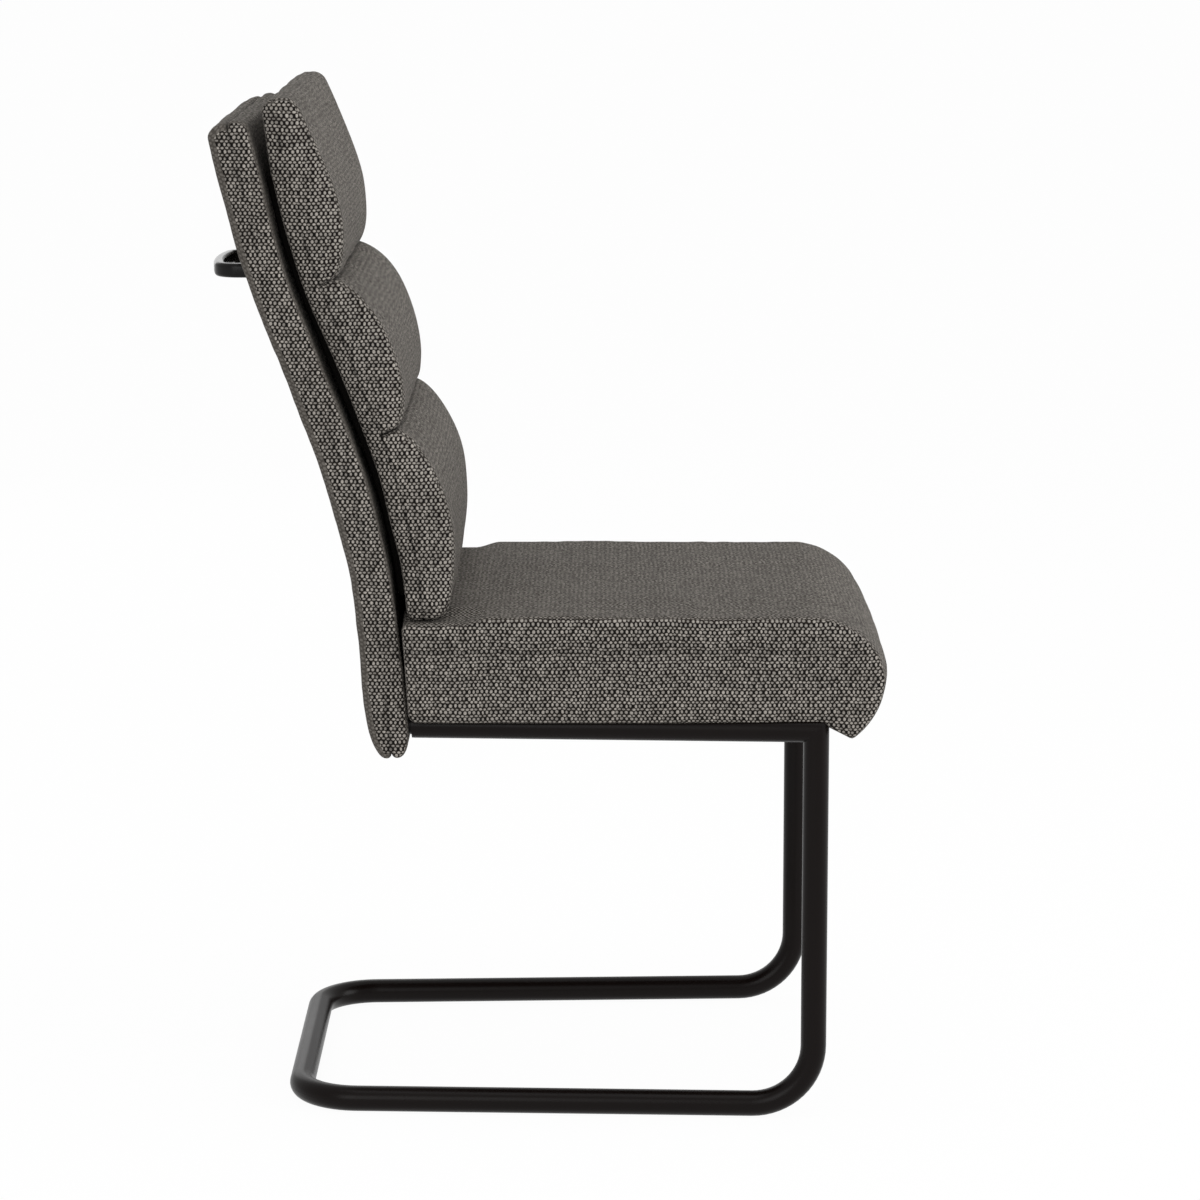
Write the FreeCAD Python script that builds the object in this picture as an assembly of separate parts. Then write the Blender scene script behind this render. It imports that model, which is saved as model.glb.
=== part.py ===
# Cantilever dining chair: a bent steel sled, a thick seat and a back in two padded layers.
# Frame: +Z up, the seat's front towards -Y, left and right mirrored about X = 0.
# The origin is on the floor, under the middle of the chair's outline. Units are millimetres.
import FreeCAD
import Part
import math
import os

V = FreeCAD.Vector

# Steel tube of the sled and the seat rails
tube_d = 25.0
tube_wall = 2.0
leg_half_span = 212.3
rear_draw_in = 20.6
leg_y = -259.5
rear_tube_y = 246.8
rail_z = 388.5
floor_bend_r = 60.0
corner_bend_r = 60.0
rail_end_y = 129.5
plug_flange = 2.0
plug_length = 34.0
plug_fit = 0.1

# Flat bars welded across the seat rails
cross_bar_width = 40.0
cross_bar_thick = 4.0
cross_bar_drop = 1.0
front_bar_behind_legs = 89.5
rear_bar_ahead_of_end = 69.5

# Seat cushion, placed from the legs and the rails
seat_thick = 98.7
seat_side_inset = 0.8
seat_rear_overhang = 4.0
seat_front_overhang = 73.5
seat_skirt_rise = 8.0
seat_lip_drop = 9.5
seat_crown = 3.5
seat_crown_fall = 0.66
seat_front_crown = 5.0
seat_edge_r = 12.0
seat_rear_r = 9.0
seat_rear_flat = 60.0
recess_behind_legs = 25.0
rail_groove_play = 0.4

# The seat's rolled front: how far behind its foremost line, and how far below its top
top_turn_back = 112.0
crest_back = 68.0
crest_drop = 3.4
shoulder_back = 32.0
shoulder_drop = 14.0
brow_back = 9.0
brow_drop = 37.5
nose_drop = 69.0
chin_back = 7.5
chin_sag = 3.0
lip_back = 30.0
lip_turn_back = 33.6
lip_turn_drop = 0.7
heel_back = 37.0
heel_rise = 0.6
under_back = 86.0

# Cloth, foam and the gaps around them
cover_thick = 2.0
foam_play = 0.3
rest_gap = 0.3

# Seat board and what holds it
board_thick = 12.0
board_side_margin = 21.0
board_front_margin = 78.0
board_rear_margin = 15.5
board_corner_r = 30.0
window_margin = 34.0
dust_cover_lap = 8.0
dust_cover_thick = 1.2
seat_bolt_x = 120.0
seat_bolt_r = 3.0
seat_bolt_head_r = 5.5
seat_bolt_head = 4.0
washer_thick = 1.6
washer_r = 8.0
tee_flange_r = 9.0
tee_flange = 1.5
tee_barrel_r = 3.9
tee_barrel = 8.0
bolt_play = 0.4

# Line that the back follows from its lowest edge upwards
back_foot_behind_rails = 21.3
back_foot_drop = 30.5
lean_low = 5.5
lean_middle = 21.5
lean_top = 13.0
low_run = 142.7
low_bend_r = 630.0
middle_run = 139.2
top_bend_r = 495.0
top_run = 107.0

# Rear pad, made of two sewn halves round a steel frame
pad_side_cover = 20.3
pad_half_thick = 19.0
pad_corner_r = 12.0
pad_seam_depth = 3.0
pad_seam_share = 0.3
pad_seam_turn = 0.3
pad_seam_turn_rise = 0.35
pad_end_r = 11.0
pad_crown = 2.0
pad_stations = 12

# Frame in the rear pad
upright_d = 16.0
upright_wall = 1.5
upright_start = 14.0
upright_end_margin = 34.0
back_bar_width = 24.0
back_bar_thick = 3.0
back_board_thick = 5.0
back_board_side_margin = 26.0
back_board_above_mount = 31.4
mount_boss_r = 9.0
mount_bolt_r = 4.0
mount_bolt_head_r = 6.5
mount_bolt_head = 5.0
mount_bolt_tip_gap = 6.8

# Spacer and front cushion with its three channels
pad_gap = 14.0
spacer_side_margin = 36.0
spacer_above_seat = 12.5
spacer_end_margin = 62.0
lobe_foot_tuck = 8.5
lower_lobe_length = 176.5
middle_lobe_length = 151.3
cushion_rise = 6.7
lobe_depth = 54.5
channel_depth = 27.0
lobe_foot_depth = 30.0
lobe_head_depth = 37.0
lobe_side_step = 5.0
channel_draw_in = 9.0
lobe_front_r = 10.0
lobe_back_r = 7.0
lobe_side_bulge = 1.5
lobe_crown = 1.5
lobe_stations = 12
sewn_web = 1.0
backing_board_thick = 6.0
backing_board_side_margin = 27.0
backing_board_end_margin = 31.0
cushion_screw_x = 110.0
cushion_screw_r = 3.0
cushion_screw_head_r = 6.0
cushion_screw_head = 3.5

# How a lobe swells away from a channel, its foot and its head: how sharply, and how fully
channel_shape = (2.5, 0.6)
foot_shape = (2.0, 1.0)
head_shape = (4.0, 0.7)

# Grab handle behind the back
handle_below_top = 156.4
handle_half_width = 76.0
handle_reach = 51.0
handle_bow = 5.0
handle_bow_r = 400.0
handle_thick = 11.0
handle_corner_r = 20.0
handle_foot_height = 16.0
handle_foot_width = 13.0
handle_foot_length = 18.0
handle_foot_root = 12.5
handle_foot_skin = 0.2
handle_screw_r = 2.5
handle_screw_depth = 14.0
handle_screw_tip_gap = 1.0
handle_screw_head_r = 4.6
handle_screw_head = 3.5
handle_bar_width = 30.0
handle_bar_thick = 4.0

# How far a cutter runs past what it cuts, and how far one that only has to clear a face does
cut_reach = 25.0
cut_past = 1.0

sides = (-1.0, 1.0)
tube_r = tube_d / 2.0
upright_r = upright_d / 2.0
inner_inset = cover_thick + foam_play
runner_z = tube_r
rail_top_z = rail_z + tube_r
rear_half_span = leg_half_span - rear_draw_in
cross_bar_top_z = rail_top_z - cross_bar_drop
front_bar_y = leg_y + front_bar_behind_legs
rear_bar_y = rail_end_y - rear_bar_ahead_of_end

seat_half_width = leg_half_span + tube_r - seat_side_inset
seat_bottom_z = rail_top_z + rest_gap
seat_top_z = seat_bottom_z + seat_thick
seat_side_z = rail_z + seat_skirt_rise
seat_lip_z = rail_z - seat_lip_drop
seat_rear_y = rail_end_y + seat_rear_overhang
seat_front_y = leg_y - seat_front_overhang
board_z = seat_bottom_z + inner_inset
board_half_width = seat_half_width - board_side_margin
board_front_y = seat_front_y + board_front_margin
board_rear_y = seat_rear_y - board_rear_margin

back_foot_y = rail_end_y + back_foot_behind_rails
back_foot_z = rail_z - back_foot_drop
pad_half_width = rear_half_span + pad_side_cover
back_board_half_width = pad_half_width - back_board_side_margin
spacer_half_width = pad_half_width - spacer_side_margin
lobe_half_width = pad_half_width - lobe_side_step
channel_half_width = lobe_half_width - channel_draw_in
backing_board_half_width = lobe_half_width - backing_board_side_margin


# Small helpers for edges, faces and solids

def line(a, b):
    return Part.LineSegment(a, b).toShape()


def arc(a, middle, b):
    return Part.Arc(a, middle, b).toShape()


def face(edges):
    return Part.Face(Part.Wire(edges))


def fuse(shapes):
    whole = shapes[0]
    for other in shapes[1:]:
        whole = whole.fuse(other)
    return whole.removeSplitter()


def cut_all(shape, cutters):
    for cutter in cutters:
        shape = shape.cut(cutter)
    return shape


def rod(start, end, radius):
    axis = end.sub(start)
    return Part.makeCylinder(radius, axis.Length, start, axis)


def plate(x0, x1, y0, y1, z0, z1):
    return Part.makeBox(x1 - x0, y1 - y0, z1 - z0, V(x0, y0, z0))


def rounded_plate(half_x, y0, y1, radius, z0, z1):
    slab = plate(-half_x, half_x, y0, y1, z0, z1)
    upright_edges = [e for e in slab.Edges if abs(e.tangentAt(e.FirstParameter).z) > 0.99]
    return slab.makeFillet(radius, upright_edges)


def rounded_path(points, radii):
    """A wire of straight runs through the points, each corner turned by a tangent arc."""
    edges = []
    start = points[0]
    for corner, after, radius in zip(points[1:-1], points[2:], radii):
        towards = corner.sub(start).normalize()
        away = V(after).sub(corner).normalize()
        turn = towards.getAngle(away)
        reach = radius * math.tan(turn / 2.0)
        first = corner.sub(V(towards).multiply(reach))
        last = corner.add(V(away).multiply(reach))
        bisector = V(away).sub(towards).normalize()
        centre = corner.add(V(bisector).multiply(radius / math.cos(turn / 2.0)))
        middle = centre.sub(V(bisector).multiply(radius))
        edges.append(line(start, first))
        edges.append(arc(first, middle, last))
        start = last
    edges.append(line(start, points[-1]))
    return Part.Wire(edges)


def swept_rod(path, radius):
    first = path.Edges[0]
    start = first.FirstParameter
    circle = Part.Circle(first.valueAt(start), first.tangentAt(start), radius)
    return path.makePipeShell([Part.Wire(circle.toShape())], True, False)


def swept_tube(path, outer_r, wall):
    return swept_rod(path, outer_r).cut(swept_rod(path, outer_r - wall))


def quarter_round(radius, steps=3):
    """Along a rounded edge: how far in from the end, and how far each section is drawn in."""
    turns = [math.pi / 2.0 * i / steps for i in range(steps + 1)]
    return [(radius * (1.0 - math.cos(t)), radius * (1.0 - math.sin(t))) for t in turns]


def nearest_middle(shape):
    """The solid that lies on the chair's middle plane, where cutting left several."""
    return min(shape.Solids, key=lambda solid: abs(solid.CenterOfMass.x))


# The sled and the seat rails

def leg_top(side):
    return V(side * leg_half_span, leg_y, rail_z)


def rail_end(side):
    return V(side * rear_half_span, rail_end_y, rail_z)


def mitre_block(side, keep_leg):
    """The half space beyond the mitre between a leg and its rail."""
    down = V(0, 0, -1)
    back = rail_end(side).sub(leg_top(side)).normalize()
    normal = down.sub(back).normalize()
    if keep_leg:
        normal = normal.negative()
    size = 2.0 * (tube_d + cut_reach)
    block = Part.makeBox(size, size, size, V(-size / 2, -size / 2, 0))
    block.Placement = FreeCAD.Placement(leg_top(side), FreeCAD.Rotation(V(0, 0, 1), normal))
    return block


def sled_path():
    """The sled's centre line, with its legs run on past the mitres."""
    points = []
    for side in sides:
        top = V(side * leg_half_span, leg_y, rail_z + cut_reach)
        foot = V(side * leg_half_span, leg_y, runner_z)
        corner = V(side * rear_half_span, rear_tube_y, runner_z)
        points.append([top, foot, corner])
    order = points[0] + points[1][::-1]
    return rounded_path(order, [floor_bend_r, corner_bend_r, corner_bend_r, floor_bend_r])


def sled_tube():
    tube = swept_tube(sled_path(), tube_r, tube_wall)
    return cut_all(tube, [mitre_block(side, True) for side in sides])


def rail_rod(side, radius):
    run = rail_end(side).sub(leg_top(side)).normalize()
    start = leg_top(side).sub(run.multiply(cut_reach))
    return rod(start, rail_end(side), radius)


def seat_rail(side):
    tube = rail_rod(side, tube_r).cut(rail_rod(side, tube_r - tube_wall))
    return tube.cut(mitre_block(side, False))


def tube_envelope(play):
    """The room that the legs and rails take in the seat's underside."""
    rods = []
    for side in sides:
        leg_foot = V(side * leg_half_span, leg_y, seat_lip_z - cut_reach)
        leg_head = V(side * leg_half_span, leg_y, rail_top_z + play)
        rods.append(rod(leg_foot, leg_head, tube_r + play))
        rods.append(rod(leg_top(side), rail_end(side).add(V(0, cut_reach, 0)), tube_r + play))
    return rods


def rail_end_plugs():
    plugs = []
    for side in sides:
        end = rail_end(side)
        run = end.sub(leg_top(side)).normalize()
        inside = end.sub(V(run).multiply(plug_length))
        body = rod(inside, end, tube_r - tube_wall - plug_fit)
        flange = rod(end, end.add(V(run).multiply(plug_flange)), tube_r - plug_fit)
        plug = body.fuse(flange).removeSplitter()
        bore_start = end.sub(V(0, plug_length + cut_reach, 0))
        bore = rod(bore_start, end.add(V(0, cut_reach, 0)), mount_bolt_r + plug_fit)
        plugs.append(plug.cut(bore))
    return Part.makeCompound(plugs)


def cross_bar(y):
    z1 = cross_bar_top_z
    bar = plate(-leg_half_span, leg_half_span, y - cross_bar_width / 2, y + cross_bar_width / 2,
                z1 - cross_bar_thick, z1)
    bar = cut_all(bar, [rail_rod(side, tube_r) for side in sides])
    holes = [rod(V(side * seat_bolt_x, y, z1 - cut_reach), V(side * seat_bolt_x, y, z1 + cut_reach),
                 seat_bolt_r + bolt_play) for side in sides]
    return cut_all(nearest_middle(bar), holes)


# The seat

def seat_profile(x, inset, rise):
    """The seat's outline in a plane across X, drawn in by inset, its top raised by rise."""
    rear = seat_rear_y - inset
    top = seat_top_z - inset
    front = seat_front_y + inset + seat_front_crown * (x / seat_half_width) ** 2
    low = seat_side_z + inset
    lip = seat_lip_z + inset
    r = seat_rear_r

    def at(y, z):
        return V(x, y, z)

    rest_start = at(rear - r, top)
    rest_end = at(rear - seat_rear_flat, top)
    top_end = at(front + top_turn_back, top)
    crest = at(front + crest_back, top - crest_drop)
    shoulder = at(front + shoulder_back, top - shoulder_drop)
    brow = at(front + brow_back, top - brow_drop)
    nose = at(front, top - nose_drop)
    chin = at(front + chin_back, (nose.z + lip) / 2.0 - chin_sag)
    tip = at(front + lip_back, lip)
    tip_turn = at(front + lip_turn_back, lip - lip_turn_drop)
    heel = at(front + heel_back, lip + heel_rise)
    under = at(front + under_back, low)
    low_rear = at(rear - r, low)
    corner = r * (1.0 - math.sqrt(0.5))
    return Part.Wire([
        line(rest_start, rest_end),
        arc(rest_end, at((rest_end.y + top_end.y) / 2.0, top + rise), top_end),
        arc(top_end, crest, shoulder),
        arc(shoulder, brow, nose),
        arc(nose, chin, tip),
        arc(tip, tip_turn, heel),
        line(heel, under),
        line(under, low_rear),
        arc(low_rear, at(rear - corner, low + corner), at(rear, low + r)),
        line(at(rear, low + r), at(rear, top - r)),
        arc(at(rear, top - r), at(rear - corner, top - corner), rest_start),
    ])


def seat_rise(x, half):
    """How high the seat's top crowns at a place across it."""
    return seat_crown * (1.0 - seat_crown_fall * (x / half) ** 2)


def seat_block(inset):
    half = seat_half_width - inset
    edge = [(half - step, inset + draw) for step, draw in quarter_round(seat_edge_r)]
    stations = edge + [(half / 2.0, inset), (0.0, inset), (-half / 2.0, inset)]
    stations += [(-x, draw) for x, draw in edge[::-1]]
    return Part.makeLoft([seat_profile(x, draw, seat_rise(x, half)) for x, draw in stations], True, True)


def seat_recess(top_z):
    """The room between the rails, where the seat's underside is higher than its side edges."""
    y0 = leg_y + recess_behind_legs
    y1 = seat_rear_y + cut_reach
    low_z = seat_side_z - cut_reach
    corners = [V(-leg_half_span, y0, low_z), V(leg_half_span, y0, low_z),
               V(rear_half_span, y1, low_z), V(-rear_half_span, y1, low_z)]
    edges = [line(a, b) for a, b in zip(corners, corners[1:] + corners[:1])]
    return face(edges).extrude(V(0, 0, top_z - low_z))


def seat_outer():
    block = seat_block(0.0).cut(seat_recess(seat_bottom_z))
    return cut_all(block, tube_envelope(rail_groove_play))


def seat_inner():
    block = seat_block(inner_inset).cut(seat_recess(board_z))
    return cut_all(block, tube_envelope(rail_groove_play + inner_inset))


def seat_window():
    return plate(-board_half_width + window_margin, board_half_width - window_margin,
                 board_front_y + window_margin, board_rear_y - window_margin,
                 seat_side_z, board_z)


def seat_cover():
    return seat_outer().cut(seat_inner()).cut(seat_window())


def seat_bolt_places():
    return [(side * seat_bolt_x, y) for y in (front_bar_y, rear_bar_y) for side in sides]


def seat_board_block(play, low_z):
    return rounded_plate(board_half_width + play, board_front_y - play, board_rear_y + play,
                         board_corner_r, low_z, board_z + board_thick + play)


def seat_board():
    board = seat_board_block(0.0, board_z)
    low = board_z - cut_past
    high = board_z + board_thick + cut_past
    barrels = [rod(V(x, y, low), V(x, y, high), tee_barrel_r + plug_fit) for x, y in seat_bolt_places()]
    return cut_all(board, barrels)


def seat_foam():
    foam = seat_inner().cut(seat_board_block(foam_play, seat_side_z))
    top = board_z + board_thick
    high = top + tee_flange + foam_play
    pockets = [rod(V(x, y, top - cut_past), V(x, y, high), tee_flange_r + foam_play)
               for x, y in seat_bolt_places()]
    return cut_all(foam, pockets)


def seat_dust_cover():
    half = rear_half_span - tube_r - foam_play
    y0 = board_front_y + window_margin - dust_cover_lap
    y1 = board_rear_y - window_margin + dust_cover_lap
    z1 = seat_bottom_z
    sheet = rounded_plate(half, y0, y1, board_corner_r, z1 - dust_cover_thick, z1)
    holes = [rod(V(x, y, z1 - cut_reach), V(x, y, z1 + cut_reach), seat_bolt_r + bolt_play)
             for x, y in seat_bolt_places()]
    return cut_all(sheet, holes)


def seat_tee_nuts():
    top = board_z + board_thick
    nuts = []
    for x, y in seat_bolt_places():
        flange = rod(V(x, y, top), V(x, y, top + tee_flange), tee_flange_r)
        barrel = rod(V(x, y, top - tee_barrel), V(x, y, top), tee_barrel_r)
        bore = rod(V(x, y, top - cut_reach), V(x, y, top + cut_reach), seat_bolt_r + plug_fit)
        nuts.append(flange.fuse(barrel).removeSplitter().cut(bore))
    return Part.makeCompound(nuts)


def seat_bolt_washers():
    z = cross_bar_top_z - cross_bar_thick
    rings = []
    for x, y in seat_bolt_places():
        disc = rod(V(x, y, z - washer_thick), V(x, y, z), washer_r)
        hole = rod(V(x, y, z - cut_reach), V(x, y, z + cut_reach), seat_bolt_r + bolt_play)
        rings.append(disc.cut(hole))
    return Part.makeCompound(rings)


def seat_bolts():
    z = cross_bar_top_z - cross_bar_thick - washer_thick
    bolts = []
    for x, y in seat_bolt_places():
        head = hex_head(V(x, y, z - seat_bolt_head), V(0, 0, 1), seat_bolt_head_r, seat_bolt_head)
        shank = rod(V(x, y, z), V(x, y, board_z + board_thick), seat_bolt_r)
        bolts.append(head.fuse(shank).removeSplitter())
    return Part.makeCompound(bolts)


def hex_head(base, axis, radius, height):
    turns = [math.radians(a) for a in range(0, 360, 60)]
    corners = [V(radius * math.cos(t), radius * math.sin(t), 0) for t in turns]
    edges = [line(a, b) for a, b in zip(corners, corners[1:] + corners[:1])]
    head = face(edges).extrude(V(0, 0, height))
    head.Placement = FreeCAD.Placement(base, FreeCAD.Rotation(V(0, 0, 1), axis))
    return head


# The back's line: straight, bent back, straight, bent up again, straight

def back_stretches():
    low_turn = math.radians(lean_middle - lean_low)
    top_turn = math.radians(lean_middle - lean_top)
    return [(low_run, 0.0), (low_bend_r * low_turn, 1.0 / low_bend_r), (middle_run, 0.0),
            (top_bend_r * top_turn, -1.0 / top_bend_r), (top_run, 0.0)]


back_length = sum(length for length, curve in back_stretches())


def back_point(along, behind, x=0.0):
    """A point at a distance along the back's line, and behind it where behind is positive."""
    y = back_foot_y
    z = back_foot_z
    lean = math.radians(lean_low)
    left = along
    stretches = back_stretches()
    for index, (length, curve) in enumerate(stretches):
        step = left if index == len(stretches) - 1 else min(left, length)
        if curve:
            new_lean = lean + step * curve
            y += (math.cos(lean) - math.cos(new_lean)) / curve
            z += (math.sin(new_lean) - math.sin(lean)) / curve
            lean = new_lean
        else:
            y += step * math.sin(lean)
            z += step * math.cos(lean)
        left -= step
        if left <= 0:
            break
    return V(x, y + behind * math.cos(lean), z - behind * math.sin(lean))


def back_height(z, behind):
    """How far along the back's line a height is reached, on the line moved by behind."""
    low = 0.0
    high = back_length
    halvings = 50
    for step in range(halvings):
        middle = (low + high) / 2.0
        if back_point(middle, behind).z < z:
            low = middle
        else:
            high = middle
    return low


handle_z = back_point(back_length, 0.0).z - handle_below_top
cushion_rear = pad_half_thick + pad_gap
seat_contact = back_height(seat_top_z, -cushion_rear)
spacer_start = seat_contact + spacer_above_seat
lobe_start = seat_contact - lobe_foot_tuck
lower_channel = lobe_start + lower_lobe_length
upper_channel = lower_channel + middle_lobe_length
lobe_end = back_length + cushion_rise
back_board_start = back_height(rail_z, 0.0) + back_board_above_mount


def back_edges(start, end, behind, x):
    """The back's line between two places, as straight and curved edges."""
    marks = [0.0]
    for length, curve in back_stretches():
        marks.append(marks[-1] + length)
    inside = [m for m in marks if start + cut_past < m < end - cut_past]
    stops = [start] + inside + [end]
    edges = []
    for a, b in zip(stops, stops[1:]):
        middle = (a + b) / 2.0
        bent = any(curve and m0 <= middle <= m1
                   for m0, m1, (length, curve) in zip(marks, marks[1:], back_stretches()))
        first = back_point(a, behind, x)
        last = back_point(b, behind, x)
        edges.append(arc(first, back_point(middle, behind, x), last) if bent else line(first, last))
    return edges


def back_slab(start, end, front, rear, half_width):
    """A board bent to the back's line, between two depths."""
    x = -half_width
    lower = line(back_point(start, rear, x), back_point(start, front, x))
    upper = line(back_point(end, front, x), back_point(end, rear, x))
    outline = back_edges(start, end, front, x) + [upper] + back_edges(start, end, rear, x) + [lower]
    wire = Part.Wire(Part.__sortEdges__(outline))
    return Part.Face(wire).extrude(V(2 * half_width, 0, 0))


# The rear pad

def pad_section(along, half, thick, facing, past):
    """One half of the pad cut square to the back's line, from its seam outwards."""
    groove = pad_seam_depth
    turn_x = half - pad_seam_turn * groove
    turn_depth = pad_seam_turn_rise * pad_seam_share * thick
    r = min(pad_corner_r, thick * (1.0 - pad_seam_share))
    corner = r * (1.0 - math.sqrt(0.5))

    def at(x, depth):
        return back_point(along, facing * depth, x)

    return Part.Wire([
        line(at(-half + groove, -past), at(half - groove, -past)),
        arc(at(half - groove, -past), at(turn_x, turn_depth), at(half, thick - r)),
        arc(at(half, thick - r), at(half - corner, thick - corner), at(half - r, thick)),
        arc(at(half - r, thick), at(0, thick + pad_crown), at(-half + r, thick)),
        arc(at(-half + r, thick), at(-half + corner, thick - corner), at(-half, thick - r)),
        arc(at(-half, thick - r), at(-turn_x, turn_depth), at(-half + groove, -past)),
    ])


def pad_half(facing, inset, past=0.0):
    half = pad_half_width - inset
    thick = pad_half_thick - inset
    start = inset
    end = back_length - inset
    rounding = quarter_round(pad_end_r)
    lower = [(start + rise, half - draw, thick - draw) for rise, draw in rounding]
    upper = [(end - rise, half - draw, thick - draw) for rise, draw in rounding[::-1]]
    first = start + pad_end_r
    step = (end - pad_end_r - first) / pad_stations
    middle = [(first + step * i, half, thick) for i in range(1, pad_stations)]
    wires = [pad_section(along, w, t, facing, past) for along, w, t in lower + middle + upper]
    return Part.makeLoft(wires, True, True)


def mount_height():
    return back_height(rail_z, 0.0)


def mount_axis(side, y0, y1, radius):
    return rod(V(side * rear_half_span, y0, rail_z), V(side * rear_half_span, y1, rail_z), radius)


def upright_path(side):
    edges = back_edges(upright_start, back_length - upright_end_margin, 0.0, side * rear_half_span)
    return Part.Wire(edges)


def upright_rod(side, radius):
    return swept_rod(upright_path(side), radius)


def mount_y():
    return back_point(mount_height(), 0.0).y


def back_upright(side):
    tube = swept_tube(upright_path(side), upright_r, upright_wall)
    hole = mount_axis(side, mount_y() - upright_d, mount_y() + upright_d, mount_bolt_r + bolt_play)
    return tube.cut(hole)


def between_uprights(bar):
    return nearest_middle(cut_all(bar, [upright_rod(side, upright_r) for side in sides]))


def back_bar(along):
    half = back_bar_width / 2.0
    depth = back_bar_thick / 2.0
    return between_uprights(back_slab(along - half, along + half, -depth, depth, rear_half_span))


def back_top_bar():
    return back_bar(back_length - upright_end_margin - back_bar_width)


def back_bottom_bar():
    return back_bar(back_board_start + back_bar_width)


def handle_bar_y():
    return back_point(back_height(handle_z, 0.0), 0.0).y


def handle_screw_x():
    return handle_half_width - handle_thick / 2.0


def back_handle_bar():
    y = handle_bar_y()
    bar = plate(-rear_half_span, rear_half_span, y - handle_bar_thick / 2, y + handle_bar_thick / 2,
                handle_z - handle_bar_width / 2, handle_z + handle_bar_width / 2)
    holes = [handle_axis(side, y - cut_reach, y + cut_reach, handle_screw_r + bolt_play) for side in sides]
    return cut_all(between_uprights(bar), holes)


def back_mount_bosses():
    bosses = []
    for side in sides:
        y0 = rail_end_y + plug_flange + plug_fit
        boss = mount_axis(side, y0, mount_y(), mount_boss_r)
        bore = mount_axis(side, y0 - cut_reach, mount_y() + cut_reach, mount_bolt_r + bolt_play)
        bosses.append(boss.cut(upright_rod(side, upright_r)).cut(bore).Solids[0])
    return Part.makeCompound(bosses)


def mount_washer_y():
    return mount_y() + upright_r + washer_thick


def back_mount_washers():
    rings = []
    for side in sides:
        disc = mount_axis(side, mount_y() + upright_r / 2, mount_washer_y(), mount_boss_r)
        bore = mount_axis(side, mount_y(), mount_y() + upright_d, mount_bolt_r + bolt_play)
        rings.append(disc.cut(upright_rod(side, upright_r)).cut(bore))
    return Part.makeCompound(rings)


def back_mount_bolts():
    bolts = []
    y1 = mount_washer_y()
    tip = rail_end_y - plug_length + mount_bolt_tip_gap
    for side in sides:
        base = V(side * rear_half_span, y1, rail_z)
        head = hex_head(base, V(0, 1, 0), mount_bolt_head_r, mount_bolt_head)
        bolts.append(head.fuse(mount_axis(side, tip, y1, mount_bolt_r)).removeSplitter())
    return Part.makeCompound(bolts)


def cushion_screw_places():
    rows = [(lobe_start + lower_channel) / 2, (lower_channel + upper_channel) / 2,
            (upper_channel + back_length - backing_board_end_margin) / 2]
    return [(along, side * cushion_screw_x) for along in rows for side in sides]


def along_screw(along, x, front, rear, radius):
    return rod(back_point(along, rear, x), back_point(along, front, x), radius)


def board_rear_depth():
    return -upright_r - foam_play


def board_front_depth():
    return board_rear_depth() - back_board_thick


def backing_rear_depth():
    return -cushion_rear - inner_inset


def backing_front_depth():
    return backing_rear_depth() - backing_board_thick


def screw_holes(front, rear, radius):
    return [along_screw(along, x, front, rear, radius) for along, x in cushion_screw_places()]


def all_screw_holes():
    front = backing_front_depth() - cut_reach
    return screw_holes(front, board_rear_depth() + cut_past, cushion_screw_r + bolt_play)


def back_board():
    board = back_slab(back_board_start, back_length - upright_end_margin, board_front_depth(),
                      board_rear_depth(), back_board_half_width)
    return cut_all(board, all_screw_holes())


def pad_front_cover():
    skin = pad_half(-1.0, 0.0).cut(pad_half(-1.0, cover_thick, cut_past))
    bosses = [mount_axis(side, rail_end_y, mount_y(), mount_boss_r + foam_play) for side in sides]
    return cut_all(skin, bosses + all_screw_holes())


def frame_room(front, rear):
    """The room that the steel frame takes in the pad's foam, between two depths."""
    return back_slab(-cut_reach, back_length - upright_end_margin + foam_play, front, rear,
                     rear_half_span + upright_r + foam_play)


def pad_front_foam():
    foam = pad_half(-1.0, inner_inset)
    room = frame_room(board_front_depth() - foam_play, cut_reach)
    bosses = [mount_axis(side, rail_end_y, mount_y(), mount_boss_r + foam_play) for side in sides]
    return cut_all(foam, [room] + bosses + all_screw_holes())


def handle_axis(side, y0, y1, radius):
    return rod(V(side * handle_screw_x(), y0, handle_z), V(side * handle_screw_x(), y1, handle_z), radius)


def handle_holes():
    y = handle_bar_y()
    y1 = y + pad_half_thick + pad_crown + cut_reach
    return [handle_axis(side, y, y1, handle_screw_r + bolt_play) for side in sides]


def pad_rear_cover():
    skin = pad_half(1.0, 0.0).cut(pad_half(1.0, cover_thick, cut_past))
    return cut_all(skin, handle_holes())


def pad_rear_foam():
    foam = pad_half(1.0, inner_inset)
    room = frame_room(-cut_reach, upright_r + foam_play)
    heads = [mount_axis(side, mount_y(), mount_washer_y() + mount_bolt_head + foam_play,
                        mount_boss_r + foam_play) for side in sides]
    return cut_all(foam, [room] + heads + handle_holes())


# The front cushion and its spacer

def cushion_spacer():
    spacer = back_slab(spacer_start, back_length - spacer_end_margin, -cushion_rear + rest_gap,
                       -pad_half_thick - pad_crown - rest_gap, spacer_half_width)
    return cut_all(spacer, all_screw_holes())


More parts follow.
